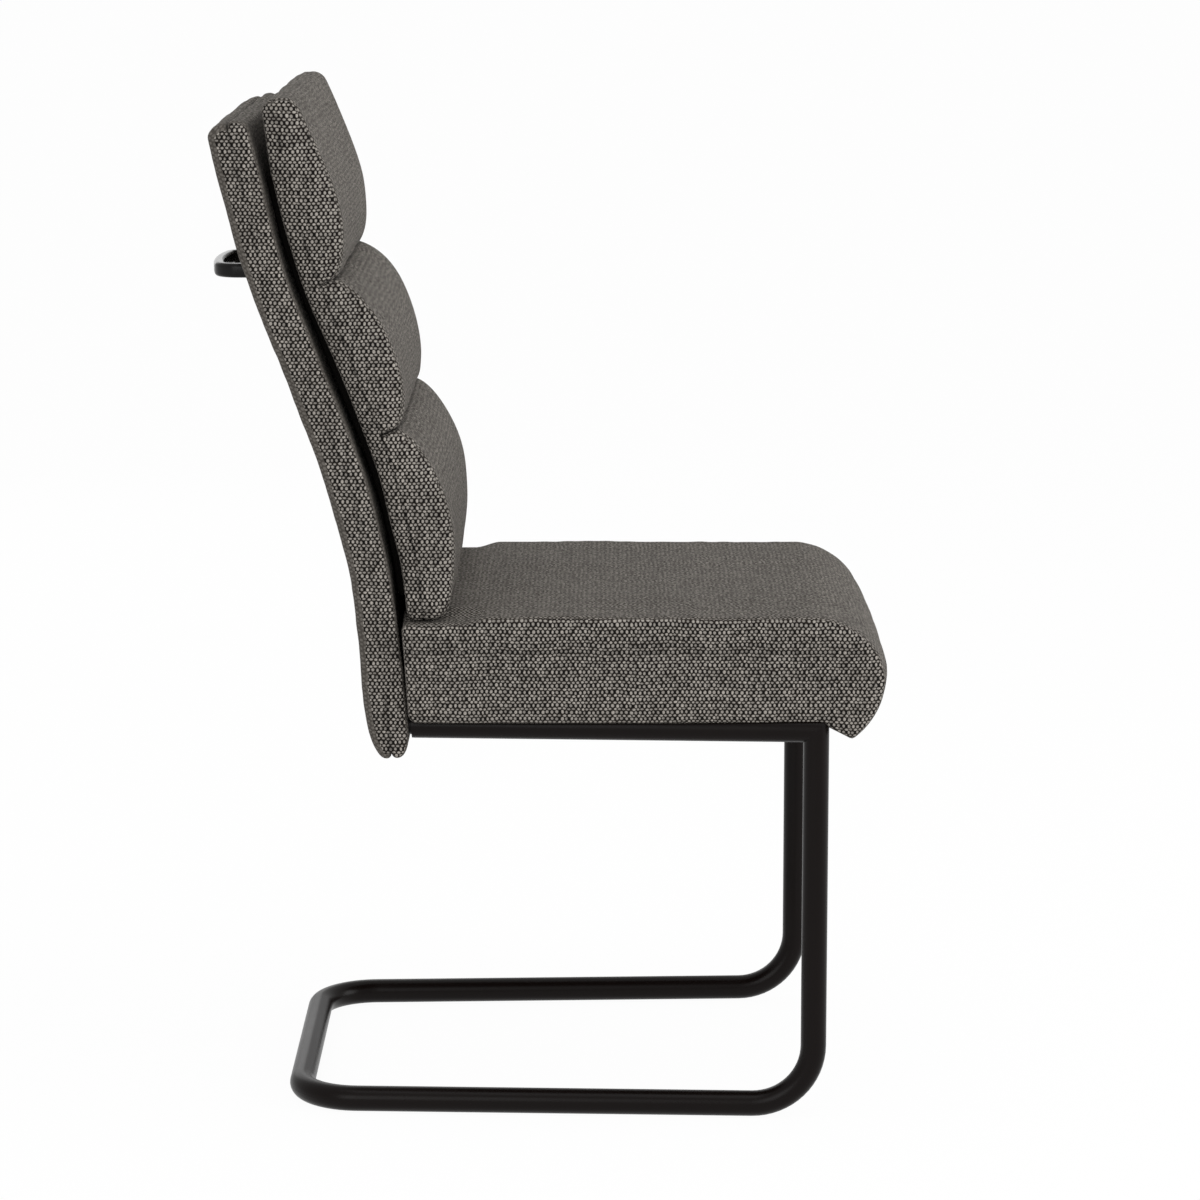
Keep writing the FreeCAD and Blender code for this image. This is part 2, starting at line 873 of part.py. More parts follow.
def lobe_section(along, half, rear, front):
    """The front cushion cut square to the back's line."""
    r = lobe_front_r
    rb = lobe_back_r
    corner = r * (1.0 - math.sqrt(0.5))
    rear_corner = rb * (1.0 - math.sqrt(0.5))

    def at(x, ahead):
        return back_point(along, -ahead, x)

    middle = (rear + rb + front - r) / 2.0
    return Part.Wire([
        line(at(-half + rb, rear), at(half - rb, rear)),
        arc(at(half - rb, rear), at(half - rear_corner, rear + rear_corner), at(half, rear + rb)),
        arc(at(half, rear + rb), at(half + lobe_side_bulge, middle), at(half, front - r)),
        arc(at(half, front - r), at(half - corner, front - corner), at(half - r, front)),
        arc(at(half - r, front), at(0, front + lobe_crown), at(-half + r, front)),
        arc(at(-half + r, front), at(-half + corner, front - corner), at(-half, front - r)),
        arc(at(-half, front - r), at(-half - lobe_side_bulge, middle), at(-half, rear + rb)),
        arc(at(-half, rear + rb), at(-half + rear_corner, rear + rear_corner), at(-half + rb, rear)),
    ])


def swell(share, sharp, full):
    """How full a lobe is at a share of its length, 0 at its ends and 1 at its middle."""
    return (1.0 - abs(2.0 * share - 1.0) ** sharp) ** full


def lobe(start, end, start_depth, end_depth, inset, start_shape, end_shape):
    """One padded roll of the front cushion, between two places along the back."""
    wires = []
    for i in range(lobe_stations + 1):
        share = (1.0 - math.cos(math.pi * i / lobe_stations)) / 2.0
        at_start = share < 0.5
        edge_depth = start_depth if at_start else end_depth
        fullness = swell(share, *(start_shape if at_start else end_shape))
        depth = edge_depth + (lobe_depth - edge_depth) * fullness
        half = channel_half_width + (lobe_half_width - channel_half_width) * fullness
        along = start + (end - start) * share
        wires.append(lobe_section(along, half - inset, cushion_rear + inset, cushion_rear + depth - inset))
    return Part.makeLoft(wires, True, True)


def lower_lobe(inset, gap):
    whole = lobe(lobe_start + gap, lower_channel - gap, lobe_foot_depth, channel_depth, inset,
                 foot_shape, channel_shape)
    return whole.cut(below_seat_top(inset + rest_gap))


def middle_lobe(inset, gap):
    return lobe(lower_channel + gap, upper_channel - gap, channel_depth, channel_depth, inset,
                channel_shape, channel_shape)


def upper_lobe(inset, gap):
    return lobe(upper_channel + gap, lobe_end - gap, channel_depth, lobe_head_depth, inset,
                channel_shape, head_shape)


def below_seat_top(play):
    size = 2.0 * seat_half_width
    return plate(-size, size, -size, size, seat_bottom_z, seat_top_z + play)


def backing_block(play):
    return back_slab(spacer_start - play, back_length - backing_board_end_margin + play,
                     backing_front_depth() - play, backing_rear_depth() + play,
                     backing_board_half_width + play)


def cushion_backing_board():
    return cut_all(backing_block(0.0), tee_holes(tee_barrel_r + plug_fit))


def tee_holes(radius):
    return screw_holes(backing_front_depth() - tee_flange, backing_rear_depth() + cut_past, radius)


def cushion_tee_nuts():
    front = backing_front_depth()
    nuts = []
    for along, x in cushion_screw_places():
        flange = along_screw(along, x, front - tee_flange, front, tee_flange_r)
        barrel = along_screw(along, x, front, front + backing_board_thick, tee_barrel_r)
        bore = along_screw(along, x, front - cut_reach, front + cut_reach, cushion_screw_r + plug_fit)
        nuts.append(flange.fuse(barrel).removeSplitter().cut(bore))
    return Part.makeCompound(nuts)


def cushion_screws():
    screws = []
    rear = board_rear_depth()
    for along, x in cushion_screw_places():
        head = along_screw(along, x, rear, rear + cushion_screw_head, cushion_screw_head_r)
        shank = along_screw(along, x, backing_front_depth(), rear, cushion_screw_r)
        screws.append(head.fuse(shank).removeSplitter())
    return Part.makeCompound(screws)


def bolster_foam(roll):
    foam = roll(inner_inset, sewn_web + cover_thick / 2).cut(backing_block(foam_play))
    front = backing_front_depth()
    pockets = screw_holes(front - tee_flange - foam_play, front + cut_past, tee_flange_r + foam_play)
    return cut_all(foam, pockets)


def cushion_cover():
    outer = fuse([lower_lobe(0.0, 0.0), middle_lobe(0.0, 0.0), upper_lobe(0.0, 0.0)])
    rooms = [roll(cover_thick, sewn_web) for roll in (lower_lobe, middle_lobe, upper_lobe)]
    filling = fuse(rooms + [backing_block(foam_play)])
    return cut_all(outer.cut(filling), all_screw_holes())


# The handle

def handle_path(pad_y):
    x = handle_screw_x()
    y0 = pad_y - cut_reach
    y1 = pad_y + handle_reach - handle_thick / 2.0
    points = [V(-x, y0, handle_z), V(-x, y1 - handle_bow, handle_z), V(0, y1, handle_z),
              V(x, y1 - handle_bow, handle_z), V(x, y0, handle_z)]
    return rounded_path(points, [handle_corner_r, handle_bow_r, handle_corner_r])


def handle_pad_y():
    """Where the pad's rear face is, at the handle's height."""
    return back_point(back_height(handle_z, pad_half_thick), pad_half_thick).y


def handle():
    pad_y = handle_pad_y()
    grip = swept_rod(handle_path(pad_y), handle_thick / 2.0)
    feet = [handle_foot(side * handle_screw_x(), pad_y) for side in sides]
    whole = fuse([grip] + feet)
    whole = whole.cut(pad_half(1.0, -rest_gap))
    whole = [s for s in whole.Solids if s.CenterOfMass.y > pad_y][0]
    y1 = pad_y + handle_screw_depth
    holes = [handle_axis(side, pad_y - cut_reach, y1, handle_screw_r + plug_fit) for side in sides]
    return cut_all(whole, holes)


def handle_foot(x, pad_y):
    """A post that grows taller towards the pad."""
    wires = []
    turn = FreeCAD.Rotation(V(0, 0, 1), V(1, 0, 0), V(0, 1, 0), "ZXY")
    for y, flare in ((pad_y - handle_foot_root, 1.0), (pad_y + handle_foot_length, 0.0)):
        tall = handle_thick + (handle_foot_height - handle_thick) * flare + handle_foot_skin
        wide = handle_thick + (handle_foot_width - handle_thick) * flare + handle_foot_skin / 2.0
        wire = Part.Wire(Part.Ellipse(V(0, 0, 0), tall / 2.0, wide / 2.0).toShape())
        wire.Placement = FreeCAD.Placement(V(x, y, handle_z), turn)
        wires.append(wire)
    return Part.makeLoft(wires, True, True)


def handle_screws():
    screws = []
    pad_y = handle_pad_y()
    front = handle_bar_y() - handle_bar_thick / 2.0
    for side in sides:
        head = handle_axis(side, front - handle_screw_head, front, handle_screw_head_r)
        shank = handle_axis(side, front, pad_y + handle_screw_depth - handle_screw_tip_gap, handle_screw_r)
        screws.append(head.fuse(shank).removeSplitter())
    return Part.makeCompound(screws)


nodes = {
    "sled_tube": sled_tube,
    "seat_rail_left": lambda: seat_rail(-1.0),
    "seat_rail_right": lambda: seat_rail(1.0),
    "rail_end_plugs": rail_end_plugs,
    "front_cross_bar": lambda: cross_bar(front_bar_y),
    "rear_cross_bar": lambda: cross_bar(rear_bar_y),
    "seat_cover": seat_cover,
    "seat_foam": seat_foam,
    "seat_board": seat_board,
    "seat_dust_cover": seat_dust_cover,
    "seat_tee_nuts": seat_tee_nuts,
    "seat_bolts": seat_bolts,
    "seat_bolt_washers": seat_bolt_washers,
    "back_upright_left": lambda: back_upright(-1.0),
    "back_upright_right": lambda: back_upright(1.0),
    "back_top_bar": back_top_bar,
    "back_bottom_bar": back_bottom_bar,
    "back_handle_bar": back_handle_bar,
    "back_mount_bosses": back_mount_bosses,
    "back_mount_washers": back_mount_washers,
    "back_mount_bolts": back_mount_bolts,
    "back_board": back_board,
    "pad_front_cover": pad_front_cover,
    "pad_rear_cover": pad_rear_cover,
    "pad_front_foam": pad_front_foam,
    "pad_rear_foam": pad_rear_foam,
    "cushion_spacer": cushion_spacer,
    "cushion_backing_board": cushion_backing_board,
    "cushion_tee_nuts": cushion_tee_nuts,
    "cushion_screws": cushion_screws,
    "lower_bolster_foam": lambda: bolster_foam(lower_lobe),
    "middle_bolster_foam": lambda: bolster_foam(middle_lobe),
    "upper_bolster_foam": lambda: bolster_foam(upper_lobe),
    "cushion_cover": cushion_cover,
    "handle": handle,
    "handle_screws": handle_screws,
}

os.makedirs("parts", exist_ok=True)
for name, make in nodes.items():
    shape = make()
    shape.exportStep(os.path.join("parts", name + ".step"))
    box = shape.optimalBoundingBox(False)
    print(name, "solids", len(shape.Solids), "valid", shape.isValid(), "volume", round(shape.Volume),
          "box", [round(v, 1) for v in (box.XMin, box.XMax, box.YMin, box.YMax, box.ZMin, box.ZMax)])
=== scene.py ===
"""The looks of a cantilever dining chair: woven cloth cushions on a black tube frame.

Everything is in metres, +Z up, with the seat's front towards -Y and the floor at Z = 0.
"""
import math

import bmesh
import bpy
import numpy as np
from bpy.props import FloatProperty, FloatVectorProperty, PointerProperty
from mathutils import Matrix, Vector


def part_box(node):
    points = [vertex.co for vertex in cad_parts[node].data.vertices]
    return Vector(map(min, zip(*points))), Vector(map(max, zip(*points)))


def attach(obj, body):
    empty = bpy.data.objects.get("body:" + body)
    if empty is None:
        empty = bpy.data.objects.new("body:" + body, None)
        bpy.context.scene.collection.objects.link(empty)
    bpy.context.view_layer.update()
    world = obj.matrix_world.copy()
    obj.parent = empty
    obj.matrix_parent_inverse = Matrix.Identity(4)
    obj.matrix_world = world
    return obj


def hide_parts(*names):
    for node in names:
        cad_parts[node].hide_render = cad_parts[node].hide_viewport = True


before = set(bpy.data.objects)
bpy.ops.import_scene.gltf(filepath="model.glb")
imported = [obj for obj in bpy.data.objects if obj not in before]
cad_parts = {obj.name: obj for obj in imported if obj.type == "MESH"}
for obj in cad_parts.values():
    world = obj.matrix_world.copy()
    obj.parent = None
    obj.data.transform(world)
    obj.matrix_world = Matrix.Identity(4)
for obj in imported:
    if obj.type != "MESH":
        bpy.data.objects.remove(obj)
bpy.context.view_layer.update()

bl_info = {
    "name": "Cantilever Chair",
    "version": (1, 0, 0),
    "blender": (4, 5, 0),
    "location": "3D View > Sidebar > Chair",
    "description": "Cushions, cloth and finishes of a cantilever dining chair",
    "category": "Add Mesh",
}

ROOT = "root"
seat_low, seat_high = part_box("seat_cover")
spacer_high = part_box("cushion_spacer")[1]
dust_low, dust_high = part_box("seat_dust_cover")
rail_low, rail_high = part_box("seat_rail_left")
sled_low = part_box("sled_tube")[0]
handle_low, handle_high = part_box("handle")


def length(name, value, text):
    """A size in metres that a user may change."""
    return FloatProperty(name=name, default=value, description=text, unit="LENGTH", precision=4)


def share(name, value, text):
    """A number without a unit, from 0 to 1."""
    return FloatProperty(name=name, default=value, description=text, min=0.0, max=1.0)


def colour(name, value, text):
    """A linear colour."""
    return FloatVectorProperty(name=name, default=value, description=text, subtype="COLOR", size=3,
                               min=0.0, max=1.0)


def angle(name, degrees, text):
    """An angle, written in degrees and kept in radians."""
    return FloatProperty(name=name, default=math.radians(degrees), description=text, subtype="ANGLE")


def power(name, value, text):
    """A lamp's power in watts."""
    return FloatProperty(name=name, default=value, description=text, unit="POWER")


class BackLine(bpy.types.PropertyGroup):
    """The line that the whole back follows, seen from the side."""
    foot_y: length("Foot behind", 0.1508, "How far behind the chair's middle the back's line starts")
    foot_z: length("Foot height", 0.358, "Height at which the back's line starts")
    lean_low: angle("Low lean", 5.5, "Lean of the lowest straight run")
    lean_middle: angle("Middle lean", 21.5, "Lean of the middle straight run")
    lean_top: angle("Top lean", 13.0, "Lean of the highest straight run")
    low_run: length("Low run", 0.1427, "Length of the lowest straight run")
    low_bend: length("Low bend radius", 0.630, "Radius of the bend backwards")
    middle_run: length("Middle run", 0.1392, "Length of the middle straight run")
    top_bend: length("Top bend radius", 0.495, "Radius of the bend upright again")
    top_run: length("Top run", 0.107, "Length of the highest straight run")


class RearPad(bpy.types.PropertyGroup):
    """The slim pad behind, sewn from two halves."""
    head_gap: length("Head gap", 0.0030, "How far the pad ends below the end of the back's line")
    half_width: length("Half width", 0.212, "From the middle to the pad's side")
    front_thick: length("Front half", 0.0173, "Thickness of the front half")
    rear_thick: length("Rear half", 0.0197, "Thickness of the rear half")
    crown: length("Crown", 0.0015, "How far each face swells in its middle")
    head_round: length("Head rounding", 0.011, "Rounding of both halves at their upper ends")
    front_tail: length("Front tail", 0.024, "Rounding of the front half's lower end")
    rear_tail: length("Rear tail", 0.040, "Longer rounding of the rear half's lower end")
    rear_edge: length("Rear edge", 0.011, "Rounding between the rear face and the side")
    front_edge: length("Front edge", 0.0055, "Rounding between the front face and the side")
    seam_depth: length("Seam depth", 0.0050, "How deep the seam between the halves lies at their ends")
    groove_depth: length("Groove depth", 0.0007, "How deep the same seam lies along the sides")
    groove_width: length("Groove width", 0.0016, "How wide that groove is")
    side_swell: length("Side swell", 0.0010, "How far the sides swell out")
    waviness: length("Waviness", 0.0006, "Height of the broad waves of the faces")
    pucker: length("Pucker", 0.0004, "Height of the small folds beside the edges")


class FrontCushion(bpy.types.PropertyGroup):
    """The front cushion, sewn into three rolls."""
    foot: length("Foot", 0.1325, "Where the lowest roll starts along the back's line")
    lower_channel: length("Lower channel", 0.3055, "Where the lower seam lies along the back's line")
    upper_channel: length("Upper channel", 0.4595, "Where the upper seam lies along the back's line")
    head: length("Head", 0.6465, "Where the highest roll ends along the back's line")
    rear_depth: length("Rear depth", 0.0285, "How far in front of the back's line the rear face lies")
    head_taper: length("Head taper", 0.0060, "How much further forward the rear face lies at the head")
    foot_depth: length("Foot depth", 0.066, "How far in front of that line the foot's front lies")
    channel_depth: length("Channel depth", 0.0570, "How far in front of that line the channels lie")
    head_depth: length("Head depth", 0.0665, "How far in front of that line the head's front lies")
    lower_crest: length("Lower crest", 0.0857, "How far in front of that line the lowest roll stands")
    middle_crest: length("Middle crest", 0.0865, "How far in front of that line the middle roll stands")
    upper_crest: length("Upper crest", 0.0848, "How far in front of that line the highest roll stands")
    crown: length("Crown", 0.0018, "How far a roll swells further in the middle of its width")
    half_width: length("Half width", 0.207, "From the middle to a roll's side")
    channel_draw: length("Channel draw-in", 0.009, "How far the sides draw in at a channel")
    draw_reach: length("Draw-in reach", 0.055, "How far from a channel the sides are drawn in")
    front_round: length("Front rounding", 0.0115, "Rounding between the rolls and the side")
    rear_round: length("Rear rounding", 0.0130, "Rounding between the rear face and the side")
    head_round: length("Head rounding", 0.0105, "Rounding of the head")
    foot_round: length("Foot rounding", 0.0120, "Rounding of the foot")
    foot_spread: length("Foot spread", 0.0090, "How much wider the foot is, pressed on the seat")
    spread_reach: length("Spread reach", 0.060, "How far up from the foot it is wider")
    side_swell: length("Side swell", 0.0018, "How far the sides swell between their edges")
    seam_depth: length("Seam depth", 0.0012, "How deep the side seam lies")
    seam_place: length("Seam place", 0.0445, "How far in front of the back's line the side seam runs")
    stitch_pitch: length("Stitch pitch", 0.0066, "Distance between two stitches of the side seam")
    waviness: length("Waviness", 0.0008, "Height of the broad waves of the rolls")
    gathers: length("Gathers", 0.0007, "Height of the folds that run off a channel")
    pucker: length("Pucker", 0.0004, "Height of the small folds beside the side seam")
    spacer_foot: length("Spacer foot", 0.152, "Where the spacer behind the cushion starts")
    spacer_gap: length("Spacer gap", 0.062, "How far the spacer ends below the end of the back's line")


class SeatCushion(bpy.types.PropertyGroup):
    """The seat with its rolled front."""
    top: length("Top", 0.4993, "Height of the top at its sides")
    edge_round: length("Edge rounding", 0.0105, "Rounding between the top and the side")
    rear_round: length("Rear rounding", 0.009, "Rounding of the rear edges")
    rear_lean: FloatProperty(name="Rear lean", default=0.064, description="Slope of the rear face")
    crown: length("Crown", 0.0016, "How far the top swells in its middle")
    front_draw: length("Front draw-in", 0.0088, "How far the front draws back at the sides")
    lip_draw: length("Lip draw-in", 0.0010, "How much further the lip draws back at the sides")
    pressed: length("Pressed", 0.0060, "How far the front cushion presses the seat's sides down")
    seam_height: length("Seam height", 0.4665, "Height of the seam along the side")
    seam_front: length("Seam front", -0.2735, "Where the upright seam of the side's front end lies")
    seam_depth: length("Seam depth", 0.0006, "How deep the side seams lie")
    waviness: length("Waviness", 0.0009, "Height of the broad waves of the top")
    pucker: length("Pucker", 0.0004, "Height of the small folds beside the top's edges")
    side_waviness: length("Side waviness", 0.0004, "Height of the waves of the sides")
    nose_drop: length("Nose drop", 0.063, "How far below the top the front stands out most")
    shoulder_back: length("Shoulder", 0.0325, "How far behind the nose the top's roll starts")
    shoulder_drop: length("Shoulder drop", 0.0158, "How far below the top that roll starts")
    crest_back: length("Crest", 0.090, "How far behind the nose the top is level")
    tip_back: length("Tip", 0.0290, "How far behind the nose the lip's tip lies")
    heel_back: length("Heel", 0.0345, "How far behind the nose the lip ends at the legs")
    drop: length("Drop", 0.0058, "How far the sides reach below the rails' tops")
    clearance: length("Clearance", 0.0012, "How far the underside lies above the dust cover")


class Handle(bpy.types.PropertyGroup):
    """The bow handle behind the back."""
    half_width: length("Half width", 0.0705, "From the middle to an arm's middle line")
    height: length("Height", 0.0140, "Height of the bow's section")
    thick: length("Thickness", 0.0105, "Thickness of the bow's section")
    section_round: length("Section rounding", 0.0038, "Rounding of the section's corners")
    corner_round: length("Corner rounding", 0.020, "Radius of the bow's corners")
    bow: length("Bow", 0.004, "How far the bow's middle stands out further than its corners")


class Cloth(bpy.types.PropertyGroup):
    """The two-tone woven cloth."""
    light: colour("Light yarn", (0.312, 0.288, 0.259), "Colour of the light yarn")
    brown: colour("Brown yarn", (0.013, 0.0102, 0.0080), "Colour between the stitches of a low row")
    dark: colour("Dark yarn", (0.0030, 0.0023, 0.0018), "Colour between the stitches of a tall row")
    mean: colour("Blend", (0.078, 0.070, 0.061), "Colour where the yarns blend into one")
    column: length("Column pitch", 0.00445, "Distance between two light stitches of a row")
    pair: length("Pair of rows", 0.00655, "Height of one tall row and one low row")
    tall_share: share("Tall share", 0.57, "Share of a pair of rows that the tall one takes")
    relief: length("Relief", 0.0009, "Height of a stitch")
    column_drift: length("Column drift", 0.0048, "How far the columns wander")
    row_drift: length("Row drift", 0.0044, "How far the rows wander")
    top_blend: share("Top blend", 0.35, "How far the yarns blend on the tops and fronts")
    edge_blend: share("Edge blend", 0.55, "How much further they blend beside the rear pad's edges")


class Metal(bpy.types.PropertyGroup):
    """Finishes of the tubes, the handle, the steel inside and the fasteners."""
    coat: colour("Powder coat", (0.0040, 0.0022, 0.0018), "Colour of the tubes")
    handle: colour("Handle", (0.0085, 0.0080, 0.0078), "Colour of the handle")
    coat_roughness: share("Coat roughness", 0.30, "Roughness of the powder coat")
    coat_shine: share("Coat shine", 0.115, "Shine of the powder coat")
    handle_roughness: share("Handle roughness", 0.22, "Roughness of the handle")
    handle_shine: share("Handle shine", 0.12, "Shine of the handle")
    steel: colour("Steel", (0.42, 0.42, 0.43), "Colour of the bare steel inside")
    steel_roughness: share("Steel roughness", 0.42, "Roughness of the bare steel")
    zinc: colour("Zinc", (0.60, 0.60, 0.61), "Colour of the fasteners")
    zinc_roughness: share("Zinc roughness", 0.30, "Roughness of the fasteners")


class Inside(bpy.types.PropertyGroup):
    """Boards and foam, the near-black lining behind, whose dark colour is painted shade for the gap between
    the pad and the front cushion, and the dark cloth below.
    """
    ply_light: colour("Light ply", (0.62, 0.47, 0.30), "Light rings of the plywood")
    ply_dark: colour("Dark ply", (0.42, 0.28, 0.16), "Dark rings of the plywood")
    foam: colour("Foam", (0.78, 0.75, 0.66), "Colour of the foam")
    # Near-black lining colour: painted shade for the gap between the pad and the front cushion
    painted_shade_lining: colour("Lining", (0.0060, 0.0052, 0.0046), "Colour of the dark lining")
    felt: colour("Dust cover", (0.020, 0.020, 0.021), "Colour of the cloth under the seat")


class Stage(bpy.types.PropertyGroup):
    """Camera, lights and floor."""
    camera_x: length("Camera X", -4.20365, "Camera place")
    camera_y: length("Camera Y", -0.0546, "Camera place")
    camera_z: length("Camera Z", 1.25558, "Camera place")
    camera_tilt: angle("Camera tilt", 10.503, "How far the camera looks down")
    camera_turn: angle("Camera turn", 0.058, "How far the camera turns to its left")
    focal: FloatProperty(name="Focal length", default=126.83, unit="CAMERA",
                         description="Lens on a 36 mm sensor")
    floor_colour: colour("Floor", (0.88, 0.88, 0.88), "Colour of the floor")
    floor_glow: share("Floor glow", 0.96, "How much of the floor's white shows without light")
    sky: FloatProperty(name="Sky", default=0.85, description="Strength of the light all round", min=0.0)
    key: power("Overhead light", 20.0, "Power of the softbox above")
    front: power("Front light", 48.0, "Power of the softbox in front")
    side: power("Side light", 30.0, "Power of the softbox on the left")
    fill: power("Fill light", 10.0, "Power of the softbox on the right")


# Distances from the middle to the rails' inner faces, at the seat's front and at its rear
RAIL_REACH = sorted(abs(corner.x) for corner in (rail_low, rail_high))
RAIL_INNER = (RAIL_REACH[1] - (rail_high.z - rail_low.z), RAIL_REACH[0])
# The rolls' crests along the back's line, and how sharply each roll falls below its crest and above it
ROLLS = ((0.225, (1.8, 1.0), (2.2, 0.65)), (0.385, (2.0, 0.5), (2.3, 0.8)), (0.533, (2.0, 0.6), (1.5, 1.0)))
# Bulges of the pad's faces along the back's line: where, how wide and how high
REAR_BULGES = ((0.075, 0.050, 0.0018), (0.262, 0.080, 0.0026), (0.600, 0.050, 0.0014))
FRONT_BULGES = ((0.080, 0.070, 0.0020), (0.560, 0.090, 0.0022))
# How far inside the rear pad's sides its cloth starts to blend, and where it is blended most
PLAIN_EDGE = (0.032, 0.014)
# Where along the back's line the rear pad's front face starts to swell above the cushion's foot, and is full
PAD_FREE = (0.15, 0.20)
# Where the seat's front starts to draw back at its sides and where it is full: along the seat and in height
DRAW_ALONG, DRAW_HEIGHT, LIP_HEIGHT = (-0.20, -0.26), (0.487, 0.427), (0.425, 0.395)
# Where the seat's rear starts to lean and where it leans fully
LEAN_ALONG = (0.05, 0.13)
# Where the press mark of the front cushion starts and where it is full: along, across and in height
PRESS_ALONG, PRESS_ACROSS, PRESS_HEIGHT = (0.055, 0.080), (0.165, 0.205), (0.45, 0.49)
# Where the waves of the seat's top start and where they are full: along and in height
WAVE_ALONG, WAVE_HEIGHT = (0.05, 0.0), (0.47, 0.50)
# The softboxes: which power of the stage each has, its place, the height it aims at, and its size
SOFTBOXES = (("key", (-0.5, -0.3, 3.0), 0.5, 2.2), ("front", (-0.6, -3.2, 1.3), 0.6, 2.0),
             ("side", (-3.4, 1.2, 1.6), 0.6, 2.0), ("fill", (3.4, 1.2, 1.6), 0.6, 2.0))


# Shader expressions

class Value:
    """A socket of a material that takes part in sums, products and comparisons."""

    def __init__(self, recipe, socket):
        self.recipe = recipe
        self.socket = socket

    def out(self, name):
        """Another output of the node that this value comes from."""
        return Value(self.recipe, self.socket.node.outputs[name])

    def _join(self, operation, first, second):
        """Two values joined by Math, two vectors by Vector Math, and colours by Mix."""
        kinds = {v.socket.type for v in (first, second) if isinstance(v, Value)}
        plain = [v for v in (first, second) if not isinstance(v, Value) and hasattr(v, "__len__")]
        if "VECTOR" in kinds:
            return self.recipe.node("ShaderNodeVectorMath", {"operation": operation}, {0: first, 1: second})
        if "RGBA" in kinds or plain:
            return self.recipe.mix(1.0, first, second, operation)
        return self.recipe.node("ShaderNodeMath", {"operation": operation}, {0: first, 1: second})

    def __add__(self, other):
        return self._join("ADD", self, other)

    def __radd__(self, other):
        return self._join("ADD", other, self)

    def __sub__(self, other):
        return self._join("SUBTRACT", self, other)

    def __rsub__(self, other):
        return self._join("SUBTRACT", other, self)

    def __mul__(self, other):
        return self._join("MULTIPLY", self, other)

    def __rmul__(self, other):
        return self._join("MULTIPLY", other, self)

    def __truediv__(self, other):
        return self._join("DIVIDE", self, other)

    def __rtruediv__(self, other):
        return self._join("DIVIDE", other, self)

    def __pow__(self, other):
        return self._join("POWER", self, other)

    def __rpow__(self, other):
        return self._join("POWER", other, self)

    def __gt__(self, other):
        return self._join("GREATER_THAN", self, other)

    def __lt__(self, other):
        return self._join("LESS_THAN", self, other)

    def __abs__(self):
        return self.recipe.maths("ABSOLUTE", self)


class Recipe:
    """One material or world, built node by node."""

    def __init__(self, name, made_in=None):
        self.data = (bpy.data.materials if made_in is None else made_in).new(name)
        self.data.use_nodes = True
        self.tree = self.data.node_tree
        self.tree.nodes.clear()

    def node(self, kind, settings=None, inputs=None, output=0):
        """Adds a node, sets it up, feeds its sockets and gives one of its outputs."""
        made = self.tree.nodes.new(kind)
        for name, value in (settings or {}).items():
            setattr(made, name, value)
        for key, value in (inputs or {}).items():
            self.feed(made.inputs[key], value)
        return Value(self, made.outputs[output]) if made.outputs else None

    def feed(self, socket, value):
        if isinstance(value, Value):
            self.tree.links.new(value.socket, socket)
        elif socket.type == "RGBA":
            parts = value[:3] if hasattr(value, "__len__") else (value,) * 3
            socket.default_value = (*parts, 1.0)
        elif socket.type == "VECTOR" and not hasattr(value, "__len__"):
            socket.default_value = (value,) * 3
        else:
            socket.default_value = value

    def mix(self, factor, first, second, blend="MIX"):
        """A colour between or joined from two colours."""
        return self.node("ShaderNodeMix", {"data_type": "RGBA", "blend_type": blend},
                         {0: factor, 6: first, 7: second}, output=2)

    def choose(self, factor, no, yes):
        """One of two numbers, or between them, by a factor."""
        return self.node("ShaderNodeMix", {"data_type": "FLOAT"}, {0: factor, 2: no, 3: yes})

    def maths(self, operation, *values):
        return self.node("ShaderNodeMath", {"operation": operation}, dict(enumerate(values)))

    def ease(self, value, low, high):
        """0 at low, 1 at high, and smooth in between."""
        return self.node("ShaderNodeMapRange", {"interpolation_type": "SMOOTHSTEP"},
                         {"Value": value, "From Min": low, "From Max": high, "To Min": 0.0, "To Max": 1.0})

    def place(self):
        return self.node("ShaderNodeTexCoord").out("Object")

    def facing(self):
        return self.node("ShaderNodeTexCoord").out("Normal")

    def stored(self, name):
        """A number kept with the mesh."""
        return self.node("ShaderNodeAttribute", {"attribute_name": name}).out("Fac")

    def axes(self, vector):
        split = self.node("ShaderNodeSeparateXYZ", None, {0: vector})
        return split.out("X"), split.out("Y"), split.out("Z")

    def join(self, x=0.0, y=0.0, z=0.0):
        return self.node("ShaderNodeCombineXYZ", None, {0: x, 1: y, 2: z})

    def noise(self, vector, scale, detail=2.0, roughness=0.5):
        return self.node("ShaderNodeTexNoise", None,
                         {"Vector": vector, "Scale": scale, "Detail": detail, "Roughness": roughness})

    def chance(self, place):
        """A random number for each whole number."""
        return self.node("ShaderNodeTexWhiteNoise", {"noise_dimensions": "1D"}, {"W": place})

    def bump(self, height, distance, strength=1.0):
        return self.node("ShaderNodeBump", None,
                         {"Height": height, "Distance": distance, "Strength": strength})

    def finish(self, **sockets):
        """The surface itself, from named sockets of one shader."""
        inputs = {name.replace("_", " "): value for name, value in sockets.items()}
        surface = self.node("ShaderNodeBsdfPrincipled", None, inputs)
        self.node("ShaderNodeOutputMaterial", None, {"Surface": surface})
        return self.data


